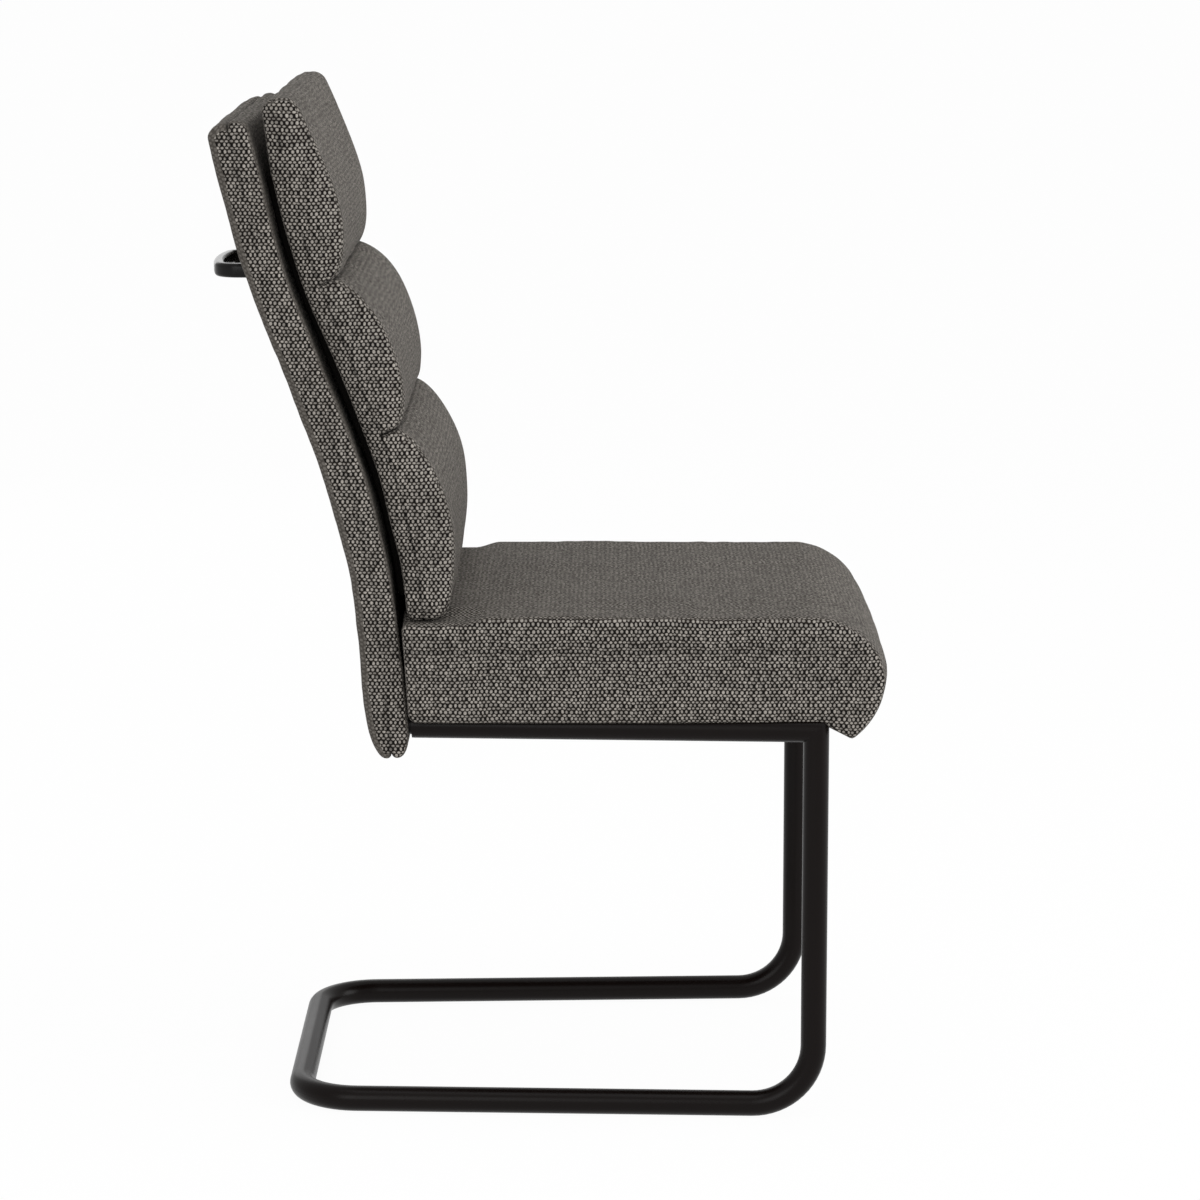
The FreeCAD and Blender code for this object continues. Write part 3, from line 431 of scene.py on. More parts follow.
def woven_cloth(cloth):
    """Staggered light stitches in rows that lie level: tall ones over dark gaps, low ones between."""
    r = Recipe("woven_cloth")
    x, y, z = r.axes(r.place())
    ny, nz = (abs(n) for n in r.axes(r.facing())[1:])
    side = r.stored("panel") > 0.5
    column_drift = (r.noise(r.place(), 26.0) - 0.5) * cloth.column_drift
    row_drift = (r.noise(r.place() + (3.1, 1.7, 0.9), 22.0) - 0.5) * cloth.row_drift
    over_columns = r.choose(r.maths("MAXIMUM", side, nz > ny), z, y) + column_drift
    over_rows = r.choose(side, x, z) + row_drift

    pair_place = over_rows / cloth.pair
    pair = r.maths("FLOOR", pair_place)
    part = r.maths("FRACT", pair_place)
    tall = part < cloth.tall_share
    in_tall = part / cloth.tall_share - 0.5
    in_low = (part - cloth.tall_share) / (1.0 - cloth.tall_share) - 0.5
    column_place = over_columns / cloth.column + tall * 0.5
    column = r.maths("FLOOR", column_place)
    cell = r.node("ShaderNodeTexWhiteNoise", {"noise_dimensions": "2D"},
                  {"Vector": r.join(column, pair * 2.0 + tall)})
    chance = cell.out("Value")
    odds = r.axes(cell.out("Color"))
    across = r.maths("FRACT", column_place) - 0.5 + (odds[0] - 0.5) * 0.22
    along = r.choose(tall, in_low, in_tall) + (odds[1] - 0.5) * 0.20
    wide = r.choose(tall, 0.40, 0.35) + (odds[2] - 0.5) * 0.12
    high = r.choose(tall, 0.47, 0.53) + (odds[0] - 0.5) * 0.12
    reach = r.maths("SQRT", (across / wide) ** 2.0 + (along / high) ** 2.0)
    stitch = r.ease(reach, 1.12, 0.55)

    streak = r.chance(column * 0.5 + 7.3).out("Value") - 0.5
    band = r.chance(pair + 3.1).out("Value") - 0.5
    fuzz = r.noise(r.place(), 900.0)
    tone = 0.72 + chance * 0.42 + streak * 0.10 + band * 0.14
    pit = tall * r.ease(abs(along), 0.56, 0.34)
    ground = r.mix(pit, cloth.brown, cloth.dark)
    pattern = r.mix(stitch, ground, tone * (0.85 + fuzz * 0.30) * cloth.light)

    plain = r.choose(side, cloth.top_blend + r.stored("plain") * cloth.edge_blend, 0.0)
    worn = 0.80 + r.noise(r.place(), 420.0, 3.0) * 0.40
    blend = r.mix(plain, pattern, worn * cloth.mean)
    broad = 0.92 + r.noise(r.place(), 9.0) * 0.16
    seam = 1.0 - r.stored("seam") * 0.75
    normal = r.bump(stitch * (1.0 - plain) + fuzz * 0.15, cloth.relief, 0.8)
    return r.finish(Base_Color=blend * (broad * seam), Roughness=0.92, Normal=normal, Specular_IOR_Level=0.15)


def powder_coat(name, base, roughness, specular):
    """Satin coat with a fine orange peel."""
    r = Recipe(name)
    peel = r.noise(r.place(), 700.0)
    patch = r.noise(r.place(), 14.0, 3.0)
    return r.finish(Base_Color=(0.85 + patch * 0.30) * base, Roughness=roughness + (patch - 0.5) * 0.10,
                    Normal=r.bump(peel, 0.00012, 0.35), Specular_IOR_Level=specular)


def bright_metal(name, base, roughness):
    """Drawn or plated steel with fine lines and cloudy patches."""
    r = Recipe(name)
    lines = r.noise(r.place() * (40.0, 400.0, 400.0), 1.0)
    clouds = r.noise(r.place(), 60.0, 3.0)
    return r.finish(Base_Color=(0.80 + clouds * 0.35) * base, Metallic=1.0,
                    Roughness=roughness + (lines - 0.5) * 0.15, Normal=r.bump(lines, 0.00005, 0.4))


def plywood(inside):
    """Flat-sawn grain on the faces and thin layers on the edges."""
    r = Recipe("plywood")
    x = r.axes(r.place())[0]
    rings = r.maths("SINE", r.noise(r.place() * (9.0, 1.2, 1.2), 3.0, 3.0) * 46.0 + x * 60.0)
    grain = r.noise(r.place() * (500.0, 18.0, 18.0), 1.0, 3.0)
    tone = r.mix(rings * 0.22 + grain * 0.45 + 0.15, inside.ply_light, inside.ply_dark)
    return r.finish(Base_Color=tone, Roughness=0.6, Normal=r.bump(grain, 0.0002, 0.4))


def foam(inside):
    """Open cells in a pale yellow block."""
    r = Recipe("foam")
    cells = r.node("ShaderNodeTexVoronoi", None, {"Vector": r.place(), "Scale": 900.0})
    return r.finish(Base_Color=(0.75 + cells * 0.9) * inside.foam, Roughness=0.95,
                    Normal=r.bump(cells, 0.0006, 0.7))


def painted_shade_lining(inside):
    """Near-black cloth with a fine tabby weave, its dark colour painted shade for the gap between the pad and
    the front cushion.
    """
    r = Recipe("spacer_lining")
    x, y, z = r.axes(r.place())
    weave = r.maths("SINE", x * 3900.0) * r.maths("SINE", (z + y) * 3900.0)
    fuzz = r.noise(r.place(), 300.0, 3.0)
    return r.finish(Base_Color=(0.80 + weave * 0.12 + fuzz * 0.45) * inside.painted_shade_lining, Roughness=0.95,
                    Normal=r.bump(weave + fuzz, 0.0003, 0.6), Specular_IOR_Level=0.1)


def felt(inside):
    """Bonded black cloth, pressed in small dimples."""
    r = Recipe("dust_felt")
    x, y = r.axes(r.place())[:2]
    dimples = r.maths("SINE", x * 2100.0) * r.maths("SINE", y * 2100.0)
    fibre = r.noise(r.place(), 260.0, 4.0, 0.7)
    return r.finish(Base_Color=(0.65 + fibre * 0.8) * inside.felt, Roughness=0.9,
                    Normal=r.bump(dimples * 0.5 + fibre, 0.0003, 0.6))


# Points along the back's line and round outlines

def back_place(line, along, behind):
    """Heights and depths of points at distances along the back's line and behind it."""
    along = np.asarray(along, float)
    low_turn = line.lean_middle - line.lean_low
    top_turn = line.lean_middle - line.lean_top
    stretches = [(line.low_run, 0.0), (line.low_bend * low_turn, 1.0 / line.low_bend),
                 (line.middle_run, 0.0), (line.top_bend * top_turn, -1.0 / line.top_bend),
                 (line.top_run, 0.0)]
    y = np.full(along.shape, line.foot_y)
    z = np.full(along.shape, line.foot_z)
    lean = np.full(along.shape, line.lean_low)
    left = along.copy()
    for index, (run, curve) in enumerate(stretches):
        least = -1.0 if index == 0 else 0.0
        most = 9.0 if index == len(stretches) - 1 else run
        step = np.clip(left, least, most)
        if curve:
            turned = lean + step * curve
            y = y + (np.cos(lean) - np.cos(turned)) / curve
            z = z + (np.sin(turned) - np.sin(lean)) / curve
            lean = turned
        else:
            y = y + step * np.sin(lean)
            z = z + step * np.cos(lean)
        left = left - step
    return y + behind * np.cos(lean), z - behind * np.sin(lean)


def back_length(line):
    low_turn = line.lean_middle - line.lean_low
    top_turn = line.lean_middle - line.lean_top
    bends = line.low_bend * low_turn + line.top_bend * top_turn
    return line.low_run + line.middle_run + line.top_run + bends


def arc_through(first, middle, last, count):
    """Points on the round arc through three points, without the last one."""
    (ax, ay), (bx, by), (cx, cy) = first, middle, last
    d = 2.0 * (ax * (by - cy) + bx * (cy - ay) + cx * (ay - by))
    a2, b2, c2 = ax * ax + ay * ay, bx * bx + by * by, cx * cx + cy * cy
    ux = (a2 * (by - cy) + b2 * (cy - ay) + c2 * (ay - by)) / d
    uy = (a2 * (cx - bx) + b2 * (ax - cx) + c2 * (bx - ax)) / d
    radius = math.hypot(ax - ux, ay - uy)
    start, via, end = (math.atan2(py - uy, px - ux) for px, py in (first, middle, last))
    sweep = (end - start) % math.tau
    if (via - start) % math.tau > sweep:
        sweep -= math.tau
    turns = start + sweep * np.arange(count) / count
    return np.stack([ux + radius * np.cos(turns), uy + radius * np.sin(turns)], 1)


def straight(first, last, count):
    """Points on a straight run, without the last one."""
    shares = (np.arange(count) / count)[:, None]
    return np.asarray(first) * (1.0 - shares) + np.asarray(last) * shares


def resample(points, count):
    """The same line through count + 1 evenly spaced points."""
    steps = np.linalg.norm(np.diff(points, axis=0), axis=1)
    marks = np.concatenate([[0.0], np.cumsum(steps)])
    wanted = np.linspace(0.0, marks[-1], count + 1)
    return np.stack([np.interp(wanted, marks, points[:, axis]) for axis in (0, 1)], 1)


def waves(points, size, seed, count=14):
    """Smooth unevenness between about -1 and 1, with bumps of about that size."""
    source = np.random.default_rng(seed)
    total = np.zeros(len(points))
    for _ in range(count):
        direction = source.normal(size=3)
        direction /= np.linalg.norm(direction)
        pitch = size * source.uniform(0.7, 1.6)
        total += np.cos(points @ direction * (math.tau / pitch) + source.uniform(0.0, math.tau))
    return total / math.sqrt(count / 2.0) / 1.6


# Cushions as skins over a side outline

class Pillow:
    """A padded piece drawn by its side outline, with its edges rounded towards both sides.

    The outline is closed. Its point 0 and its middle point are the two ends, and the points between
    pair off across the piece, so that the sides close over a line down their middle.
    """

    def __init__(self, outline, inward, half_width, edge_round, across=72, rounding=7, filling=20):
        self.outline = outline
        self.inward = inward
        self.half_width = half_width
        self.edge_round = edge_round
        self.across = across
        self.rounding = rounding
        self.filling = filling

    def rings(self):
        """For each ring: its outline points, their place across, and how far into the side it is."""
        half = []
        body = np.linspace(0.0, 1.0, self.across // 2 + 1)
        for part in body:
            x = part * (self.half_width - self.edge_round)
            half.append((self.outline, x, 0.0))
        for step in range(1, self.rounding + 1):
            turn = math.pi / 2.0 * step / self.rounding
            points = self.outline + self.inward * (self.edge_round * (1.0 - math.cos(turn)))[:, None]
            x = self.half_width - self.edge_round * (1.0 - math.sin(turn))
            half.append((points, x, 0.0))
        edge = self.outline + self.inward * self.edge_round[:, None]
        partner = -np.arange(len(edge)) % len(edge)
        centre = (edge + edge[partner]) / 2.0
        centre_half = (self.half_width + self.half_width[partner]) / 2.0
        for step in range(1, self.filling + 1):
            into = step / self.filling
            x = self.half_width * (1.0 - into) + centre_half * into
            half.append((edge * (1.0 - into) + centre * into, x, into))
        return half


def ring_faces(rings, size):
    """Faces between each ring of points and the next one."""
    index = np.arange(rings * size).reshape(rings, size)
    here, there = index[:-1], index[1:]
    return np.stack([here, np.roll(here, -1, 1), np.roll(there, -1, 1), there], -1).reshape(-1, 4).tolist()


def skin(name, stack):
    """A closed mesh through rings of points that run from one side to the other."""
    mesh = bpy.data.meshes.new(name)
    mesh.from_pydata(stack.reshape(-1, 3).tolist(), [], ring_faces(*stack.shape[:2]))
    made = bmesh.new()
    made.from_mesh(mesh)
    bmesh.ops.remove_doubles(made, verts=made.verts, dist=2e-6)
    bmesh.ops.dissolve_degenerate(made, edges=made.edges, dist=1e-6)
    bmesh.ops.recalc_face_normals(made, faces=made.faces)
    made.to_mesh(mesh)
    made.free()
    return mesh


def add_piece(name, mesh, material, crease=50.0):
    """Shows a mesh as a smooth piece that rides on the chair."""
    mesh.polygons.foreach_set("use_smooth", [True] * len(mesh.polygons))
    mesh.set_sharp_from_angle(angle=math.radians(crease))
    piece = bpy.data.objects.new(name, mesh)
    bpy.context.scene.collection.objects.link(piece)
    mesh.materials.append(material)
    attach(piece, ROOT)
    return piece


def mesh_points(mesh):
    points = np.zeros(len(mesh.vertices) * 3)
    mesh.vertices.foreach_get("co", points)
    return points.reshape(-1, 3)


def point_normals(mesh):
    normals = np.zeros(len(mesh.vertices) * 3)
    mesh.vertex_normals.foreach_get("vector", normals)
    return normals.reshape(-1, 3)


def push_out(mesh, heights):
    """Moves each point along its normal."""
    place_points(mesh, mesh_points(mesh) + point_normals(mesh) * heights[:, None])


def place_points(mesh, points):
    mesh.vertices.foreach_set("co", points.ravel())
    mesh.update()


def keep(mesh, name, values):
    """Stores a number with each point, for the cloth to read."""
    attribute = mesh.attributes.new(name, "FLOAT", "POINT")
    attribute.data.foreach_set("value", np.asarray(values, np.float32))


def side_panel(mesh, least):
    """Above 0.5 where a point faces sideways by at least that much."""
    return 0.5 + (np.abs(point_normals(mesh)[:, 0]) - least) * 2.0


def near(value, place, width):
    """1 at a place, falling smoothly to 0 within a few widths."""
    return np.exp(-((value - place) / width) ** 2)


def rise(value, none, full):
    """0 at none, 1 at full, and smooth in between, whichever of the two is the larger one."""
    part = np.clip((value - none) / (full - none), 0.0, 1.0)
    return part * part * (3.0 - 2.0 * part)


def bulge(along, bulges):
    return sum(height * near(along, place, width) for place, width, height in bulges)


def stack_of(pillow, shape):
    """All rings from the left side to the right one, each point placed by shape."""
    right = [shape(points, x, into) for points, x, into in pillow.rings()]
    left = []
    for points in right[:0:-1]:
        mirrored = points.copy()
        mirrored[:, 0] *= -1.0
        left.append(mirrored)
    return np.stack(left + right)


# The rear pad

def pad_side(pad, total, facing, face_count=150, round_count=10, notch_count=7):
    """One half of the pad's outline, from its lower seam point to its upper one, with inward directions."""
    tail = pad.rear_tail if facing > 0 else pad.front_tail
    head = pad.head_round
    points = []
    inward = []

    def thick(along):
        if facing > 0:
            return pad.rear_thick + bulge(along, REAR_BULGES)
        return pad.front_thick + bulge(along, FRONT_BULGES)

    def add(along, depth, in_along, in_depth):
        points.append((along, facing * depth))
        size = math.hypot(in_along, in_depth)
        inward.append((in_along / size, facing * in_depth / size))

    lobe = pad.seam_depth * 1.1
    for step in range(notch_count):
        turn = math.pi / 2.0 * step / notch_count
        add(pad.seam_depth * (1.0 - math.sin(turn)), lobe * (1.0 - math.cos(turn)), 1.0, 0.0)
    for step in range(round_count):
        turn = math.pi / 2.0 * step / round_count
        along = tail * (1.0 - math.cos(turn))
        add(along, lobe + (thick(along) - lobe) * math.sin(turn), math.cos(turn), -math.sin(turn))
    for step in range(face_count + 1):
        along = tail + (total - head - tail) * step / face_count
        add(along, thick(along), 0.0, -1.0)
    for step in range(1, round_count + 1):
        turn = math.pi / 2.0 * step / round_count
        along = total - head * (1.0 - math.sin(turn))
        add(along, lobe + (thick(along) - lobe) * math.cos(turn), -math.sin(turn), -math.cos(turn))
    for step in range(1, notch_count + 1):
        turn = math.pi / 2.0 * step / notch_count
        add(total - pad.seam_depth * (1.0 - math.cos(turn)), lobe * (1.0 - math.sin(turn)), -1.0, 0.0)
    return np.array(points), np.array(inward)


def rear_pad_mesh(pad, line):
    total = back_length(line) - pad.head_gap
    front, front_in = pad_side(pad, total, -1.0)
    rear, rear_in = pad_side(pad, total, 1.0)
    outline = np.concatenate([front, rear[-2:0:-1]])
    inward = np.concatenate([front_in, rear_in[-2:0:-1]])
    size = len(outline)
    facing = np.sign(outline[:, 1])
    edges = pad.front_edge + (pad.rear_edge - pad.front_edge) * rise(outline[:, 1], -0.006, 0.006)
    pillow = Pillow(outline, inward, np.full(size, pad.half_width), edges, filling=16)
    face = np.clip(np.abs(outline[:, 1]) / pad.front_thick, 0.0, 1.0) ** 2
    free = np.where(facing < 0.0, rise(outline[:, 0], *PAD_FREE), 1.0)

    def shape(points, x, into):
        swell = pad.crown * (1.0 - (x / pad.half_width) ** 2) * face * free
        y, z = back_place(line, points[:, 0], points[:, 1] + facing * swell)
        groove = pad.groove_depth * near(points[:, 1], 0.0, pad.groove_width) * (into > 0.0)
        return np.stack([x + pad.side_swell * into * (2.0 - into) - groove, y, z], 1)

    return skin("rear_pad", stack_of(pillow, shape)), total


def along_back(line, points):
    """How far along the back's line each point is, and how far behind it."""
    step = 0.001
    rounds = 12

    def offsets(along):
        """How far the points lie from the line's own points, and the line's direction there."""
        y, z = back_place(line, along, 0.0)
        next_y, next_z = back_place(line, along + step, 0.0)
        return points[:, 1] - y, points[:, 2] - z, (next_y - y) / step, (next_z - z) / step

    along = points[:, 2] - line.foot_z
    for _ in range(rounds):
        off_y, off_z, toward_y, toward_z = offsets(along)
        along = along + off_y * toward_y + off_z * toward_z
    off_y, off_z, toward_y, toward_z = offsets(along)
    return along, off_y * toward_z - off_z * toward_y


class CHAIR_OT_rear_pad(bpy.types.Operator):
    """Sews the slim pad behind the back"""
    bl_idname = "chair.rear_pad"
    bl_label = "Rear Pad"

    def execute(self, context):
        pad = context.scene.chair_rear_pad
        line = context.scene.chair_back_line
        mesh, total = rear_pad_mesh(pad, line)
        points = mesh_points(mesh)
        along, depth = along_back(line, points)
        reach, skin_depth, band = 0.012, 0.003, 0.008
        from_side = pad.half_width - np.abs(points[:, 0])
        from_end = np.minimum(along, total - along)
        rim = np.minimum(from_end, from_side)
        at_seam = near(depth, 0.0, pad.groove_width) * (rim < pad.rear_edge * 0.9)
        at_seam *= 0.25 + 0.75 * np.exp(-np.clip(from_end, 0.0, None) / reach)
        beside_seam = (np.abs(depth) < band) & (from_side < skin_depth) & (from_end > band)
        folds = waves(points, 0.016, 11) * np.exp(-np.clip(rim, 0.0, None) / reach)
        push_out(mesh, pad.waviness * waves(points, 0.070, 10) + pad.pucker * folds)
        panel = side_panel(mesh, np.where(depth > 0.0, 0.93, 0.70))
        keep(mesh, "panel", np.where(beside_seam, 1.0, panel))
        keep(mesh, "plain", 0.75 * rise(from_side, *PLAIN_EDGE))
        keep(mesh, "seam", at_seam)
        piece = add_piece("rear_pad", mesh, cloth_of(context))
        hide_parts("pad_front_cover", "pad_rear_cover", "pad_front_foam", "pad_rear_foam")
        return {"FINISHED"}


# The front cushion

def roll(start, crest, end, start_depth, full_depth, end_depth, start_shape, end_shape, count=44):
    """Places along one roll and its depth there, without its last point."""
    along = start + (end - start) * (1.0 - np.cos(math.pi * np.arange(count) / count)) / 2.0
    low = along < crest
    off = np.abs(along - crest) / np.where(low, crest - start, end - crest)
    sharp = np.where(low, start_shape[0], end_shape[0])
    full = np.where(low, start_shape[1], end_shape[1])
    fullness = (1.0 - off ** sharp) ** full
    edge = np.where(low, start_depth, end_depth)
    return along, edge + (full_depth - edge) * fullness


def cushion_rolls(cushion):
    """Places along the three rolls, how far their fronts stand out, and how drawn in their sides are."""
    marks = (cushion.foot, cushion.lower_channel, cushion.upper_channel, cushion.head)
    edges = (cushion.foot_depth, cushion.channel_depth, cushion.channel_depth, cushion.head_depth)
    crests = (cushion.lower_crest, cushion.middle_crest, cushion.upper_crest)
    rolls = []
    for index, (crest, low_shape, high_shape) in enumerate(ROLLS):
        rolls.append(roll(marks[index], crest, marks[index + 1], edges[index], crests[index],
                          edges[index + 1], low_shape, high_shape))
    along = np.concatenate([r[0] for r in rolls] + [[cushion.head]])
    front = np.concatenate([r[1] for r in rolls] + [[cushion.head_depth]])
    off = np.minimum(np.abs(along - cushion.lower_channel), np.abs(along - cushion.upper_channel))
    return along, front, (1.0 - np.clip(off / cushion.draw_reach, 0.0, 1.0)) ** 2.2


def cushion_mesh(cushion, line, cap_count=7):
    """The skin of the three rolls, closed by a low dome at the head and at the foot."""
    along, front, drawn = cushion_rolls(cushion)
    centre = (cushion.foot + cushion.head) / 2.0
    head_dome, taper_reach, end_reach = 0.0012, 0.075, 0.012
    r = np.where(along < centre, cushion.foot_round, cushion.head_round)
    from_end = np.minimum(along - cushion.foot, cushion.head - along)
    inset = r - np.sqrt(np.clip(r * r - np.clip(r - from_end, 0.0, None) ** 2, 0.0, None))
    rear = cushion.rear_depth + cushion.head_taper * rise(along, cushion.head - taper_reach, cushion.head)
    middle = (rear + front) / 2.0
    across = np.linspace(0.0, 1.0, cap_count, endpoint=False)[:, None]

    def line_of(depth, turn):
        """Head to foot along one face, with the caps' halves at both ends."""
        body = np.stack([along, -(depth + turn * inset)], 1)
        foot = np.array([along[0], -middle[0]])
        head = np.array([along[-1] + head_dome, -middle[-1]])
        foot_cap = foot + (body[0] - foot) * across
        head_cap = head + (body[-1] - head) * across
        return np.concatenate([foot_cap, body, head_cap[::-1]])

    low = line_of(front, -1.0)
    high = line_of(rear, 1.0)
    outline = np.concatenate([low, high[-2:0:-1]])
    ends = np.concatenate([np.zeros(cap_count), from_end, np.zeros(cap_count)])
    toward = np.where(low[:, 0] < centre, 1.0, -1.0)
    end_share = np.clip(1.0 - ends / end_reach, 0.0, 1.0)
    low_in = np.stack([toward * end_share, 1.0 - end_share], 1)
    high_in = np.stack([toward * end_share, end_share - 1.0], 1)
    inward = np.concatenate([low_in, high_in[-2:0:-1]])
    inward /= np.linalg.norm(inward, axis=1)[:, None]
    drawn = np.concatenate([np.full(cap_count, drawn[0]), drawn, np.full(cap_count, drawn[-1])])
    draw = drawn * cushion.channel_draw
    spread_end = cushion.foot + cushion.spread_reach
    spread = cushion.foot_spread * (1.0 - rise(low[:, 0], cushion.foot, spread_end))
    half = cushion.half_width + np.concatenate([spread - draw, (spread - draw * 0.5)[-2:0:-1]])
    rounding = np.full(len(outline), cushion.rear_round)
    rounding[:len(low)] = cushion.front_round
    pillow = Pillow(outline, inward, half, rounding, filling=20)
    in_front = np.zeros(len(outline))
    in_front[:len(low)] = 1.0 - end_share

    def shape(points, x, into):
        crown = cushion.crown * (1.0 - (x / cushion.half_width) ** 2) * in_front
        y, z = back_place(line, points[:, 0], points[:, 1] - crown)
        return np.stack([x + cushion.side_swell * into * (2.0 - into), y, z], 1)

    return skin("front_cushion", stack_of(pillow, shape))


class CHAIR_OT_front_cushion(bpy.types.Operator):
    """Sews the front cushion into three rolls and rests it on the seat"""
    bl_idname = "chair.front_cushion"
    bl_label = "Front Cushion"

    def execute(self, context):
        cushion = context.scene.chair_front_cushion
        line = context.scene.chair_back_line
        seat = context.scene.chair_seat
        mesh = cushion_mesh(cushion, line)
        points = mesh_points(mesh)
        along, depth = along_back(line, points)
        channel = np.minimum(np.abs(along - cushion.lower_channel), np.abs(along - cushion.upper_channel))
        sideways = np.abs(points[:, 0]) > cushion.half_width - cushion.channel_draw - 0.003
        side_seam = near(depth, -cushion.seam_place, 0.0011) * sideways
        gathers = waves(points * [1.0, 0.15, 0.15], 0.022, 21) * np.exp(-channel / 0.016)
        folds = waves(points, 0.013, 22) * near(depth, -cushion.seam_place, 0.006) * sideways
        heights = cushion.waviness * waves(points, 0.085, 20) + cushion.gathers * gathers
        heights += cushion.pucker * folds
        push_out(mesh, heights - cushion.seam_depth * side_seam)
        keep(mesh, "panel", side_panel(mesh, np.where(depth > -cushion.seam_place, 0.45, 0.62)))
        keep(mesh, "plain", np.zeros(len(points)))
        dashes = 0.5 + 0.5 * np.sin(along * (math.tau / cushion.stitch_pitch))
        sewn = near(channel, 0.0, 0.0016) * (depth < -cushion.seam_place)
        keep(mesh, "seam", np.maximum(side_seam * dashes, sewn))
        points = mesh_points(mesh)
        points[:, 2] = np.maximum(points[:, 2], seat_top(seat, points[:, 0]) + 0.0004)
        place_points(mesh, points)
        piece = add_piece("front_cushion", mesh, cloth_of(context))
        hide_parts("cushion_cover", "lower_bolster_foam", "middle_bolster_foam", "upper_bolster_foam")
        return {"FINISHED"}


def seat_top(seat, x):
    """Height of the seat's top where the front cushion rests on it and presses its sides down."""
    crowned = seat.top + seat.crown * (1.0 - (x / seat_high.x) ** 2)
    return crowned - seat.pressed * pressed_across(x)


def pressed_across(x):
    """How much of its full depth the press mark of the front cushion has at each place across."""
    return rise(np.abs(x), *PRESS_ACROSS)


# The spacer between the two, in a near-black lining that paints the shade in the gap

class CHAIR_OT_spacer(bpy.types.Operator):
    """Places the spacer between the pad and the front cushion, its near-black lining painted shade for the
    gap
    """
    bl_idname = "chair.spacer"
    bl_label = "Spacer"

    def execute(self, context):
        line = context.scene.chair_back_line
        cushion = context.scene.chair_front_cushion
        pad = context.scene.chair_rear_pad
        start = cushion.spacer_foot
        end = back_length(line) - cushion.spacer_gap
        clearance, end_round, side_round = 0.0002, 0.004, 0.003
        front = -(cushion.rear_depth - clearance)
        rear = -(pad.front_thick + FRONT_BULGES[1][2] + pad.crown)
        count = 90
        along = np.linspace(start, end, count + 1)
        from_end = np.minimum(along - start, end - along)
        into_end = 1.0 - np.clip(from_end / end_round, 0.0, 1.0)
        bevel = np.sqrt(np.clip(1.0 - into_end ** 2, 0.0, 1.0))
        middle = (front + rear) / 2.0
        low = np.stack([along, middle + (front - middle) * bevel], 1)
        high = np.stack([along, middle + (rear - middle) * bevel], 1)
        outline = np.concatenate([low, high[-2:0:-1]])
        inward = np.zeros_like(outline)
        inward[:, 1] = np.sign(middle - outline[:, 1])
        inward[0] = (1.0, 0.0)
        inward[count] = (-1.0, 0.0)
        half = np.full(len(outline), spacer_high.x)
        rounding = np.full(len(outline), side_round)
        pillow = Pillow(outline, inward, half, rounding, across=40, rounding=4, filling=4)

        def shape(points, x, into):
            y, z = back_place(line, points[:, 0], points[:, 1])
            return np.stack([np.broadcast_to(x, y.shape), y, z], 1)

        mesh = skin("spacer", stack_of(pillow, shape))
        # The spacer's near-black lining is painted shade for the gap between the pad and the front cushion
        piece = add_piece("spacer", mesh, painted_shade_lining(context.scene.chair_inside))
        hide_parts("cushion_spacer")
        return {"FINISHED"}


# The seat

def seat_outline(seat, count=200):
    """Lower and upper line of the seat's side, from its rear middle to its nose, as (y, z)."""
    rear, front = seat_high.y + 0.0012, seat_low.y
    top, low, lip = seat.top, rail_high.z - seat.drop, seat_low.z + 0.0022
    r = seat.rear_round
    corner = r * (1.0 - math.sqrt(0.5))
    middle = (top + low) / 2.0
    nose = (front, top - seat.nose_drop)
    tip = (front + seat.tip_back, lip)
    heel = (front + seat.heel_back, lip + 0.0010)
    under = (sled_low.y + 0.0005, low)
    shoulder = (front + seat.shoulder_back, top - seat.shoulder_drop)
    crest = (front + seat.crest_back, top)
    upper = np.concatenate([
        straight((rear, middle), (rear, top - r), 20),
        arc_through((rear, top - r), (rear - corner, top - corner), (rear - r, top), 10),
        straight((rear - r, top), crest, 90),
        arc_through(crest, (front + 0.0565, top - 0.0032), shoulder, 40),
        arc_through(shoulder, (front + 0.0112, top - 0.0375), nose, 30),
        [nose],
    ])
    lower = np.concatenate([
        straight((rear, middle), (rear, low + r), 20),
        arc_through((rear, low + r), (rear - corner, low + corner), (rear - r, low), 10),
        straight((rear - r, low), under, 100),
        straight(under, heel, 20),
        arc_through(heel, (front + 0.0315, lip - 0.0003), tip, 8),
        arc_through(tip, (front + 0.0085, (nose[1] + lip) / 2.0 - 0.004), nose, 30),
        [nose],
    ])
    return resample(lower, count), resample(upper, count)


def inward_of(outline):
    """Smoothed directions into a closed outline."""
    tangent = np.roll(outline, -1, 0) - np.roll(outline, 1, 0)
    normal = np.stack([-tangent[:, 1], tangent[:, 0]], 1)
    area = np.sum(outline[:, 0] * np.roll(outline[:, 1], -1) - np.roll(outline[:, 0], -1) * outline[:, 1])
    if area < 0.0:
        normal = -normal
    for _ in range(3):
        normal = (np.roll(normal, 1, 0) + normal * 2.0 + np.roll(normal, -1, 0)) / 4.0
    return normal / np.linalg.norm(normal, axis=1)[:, None]


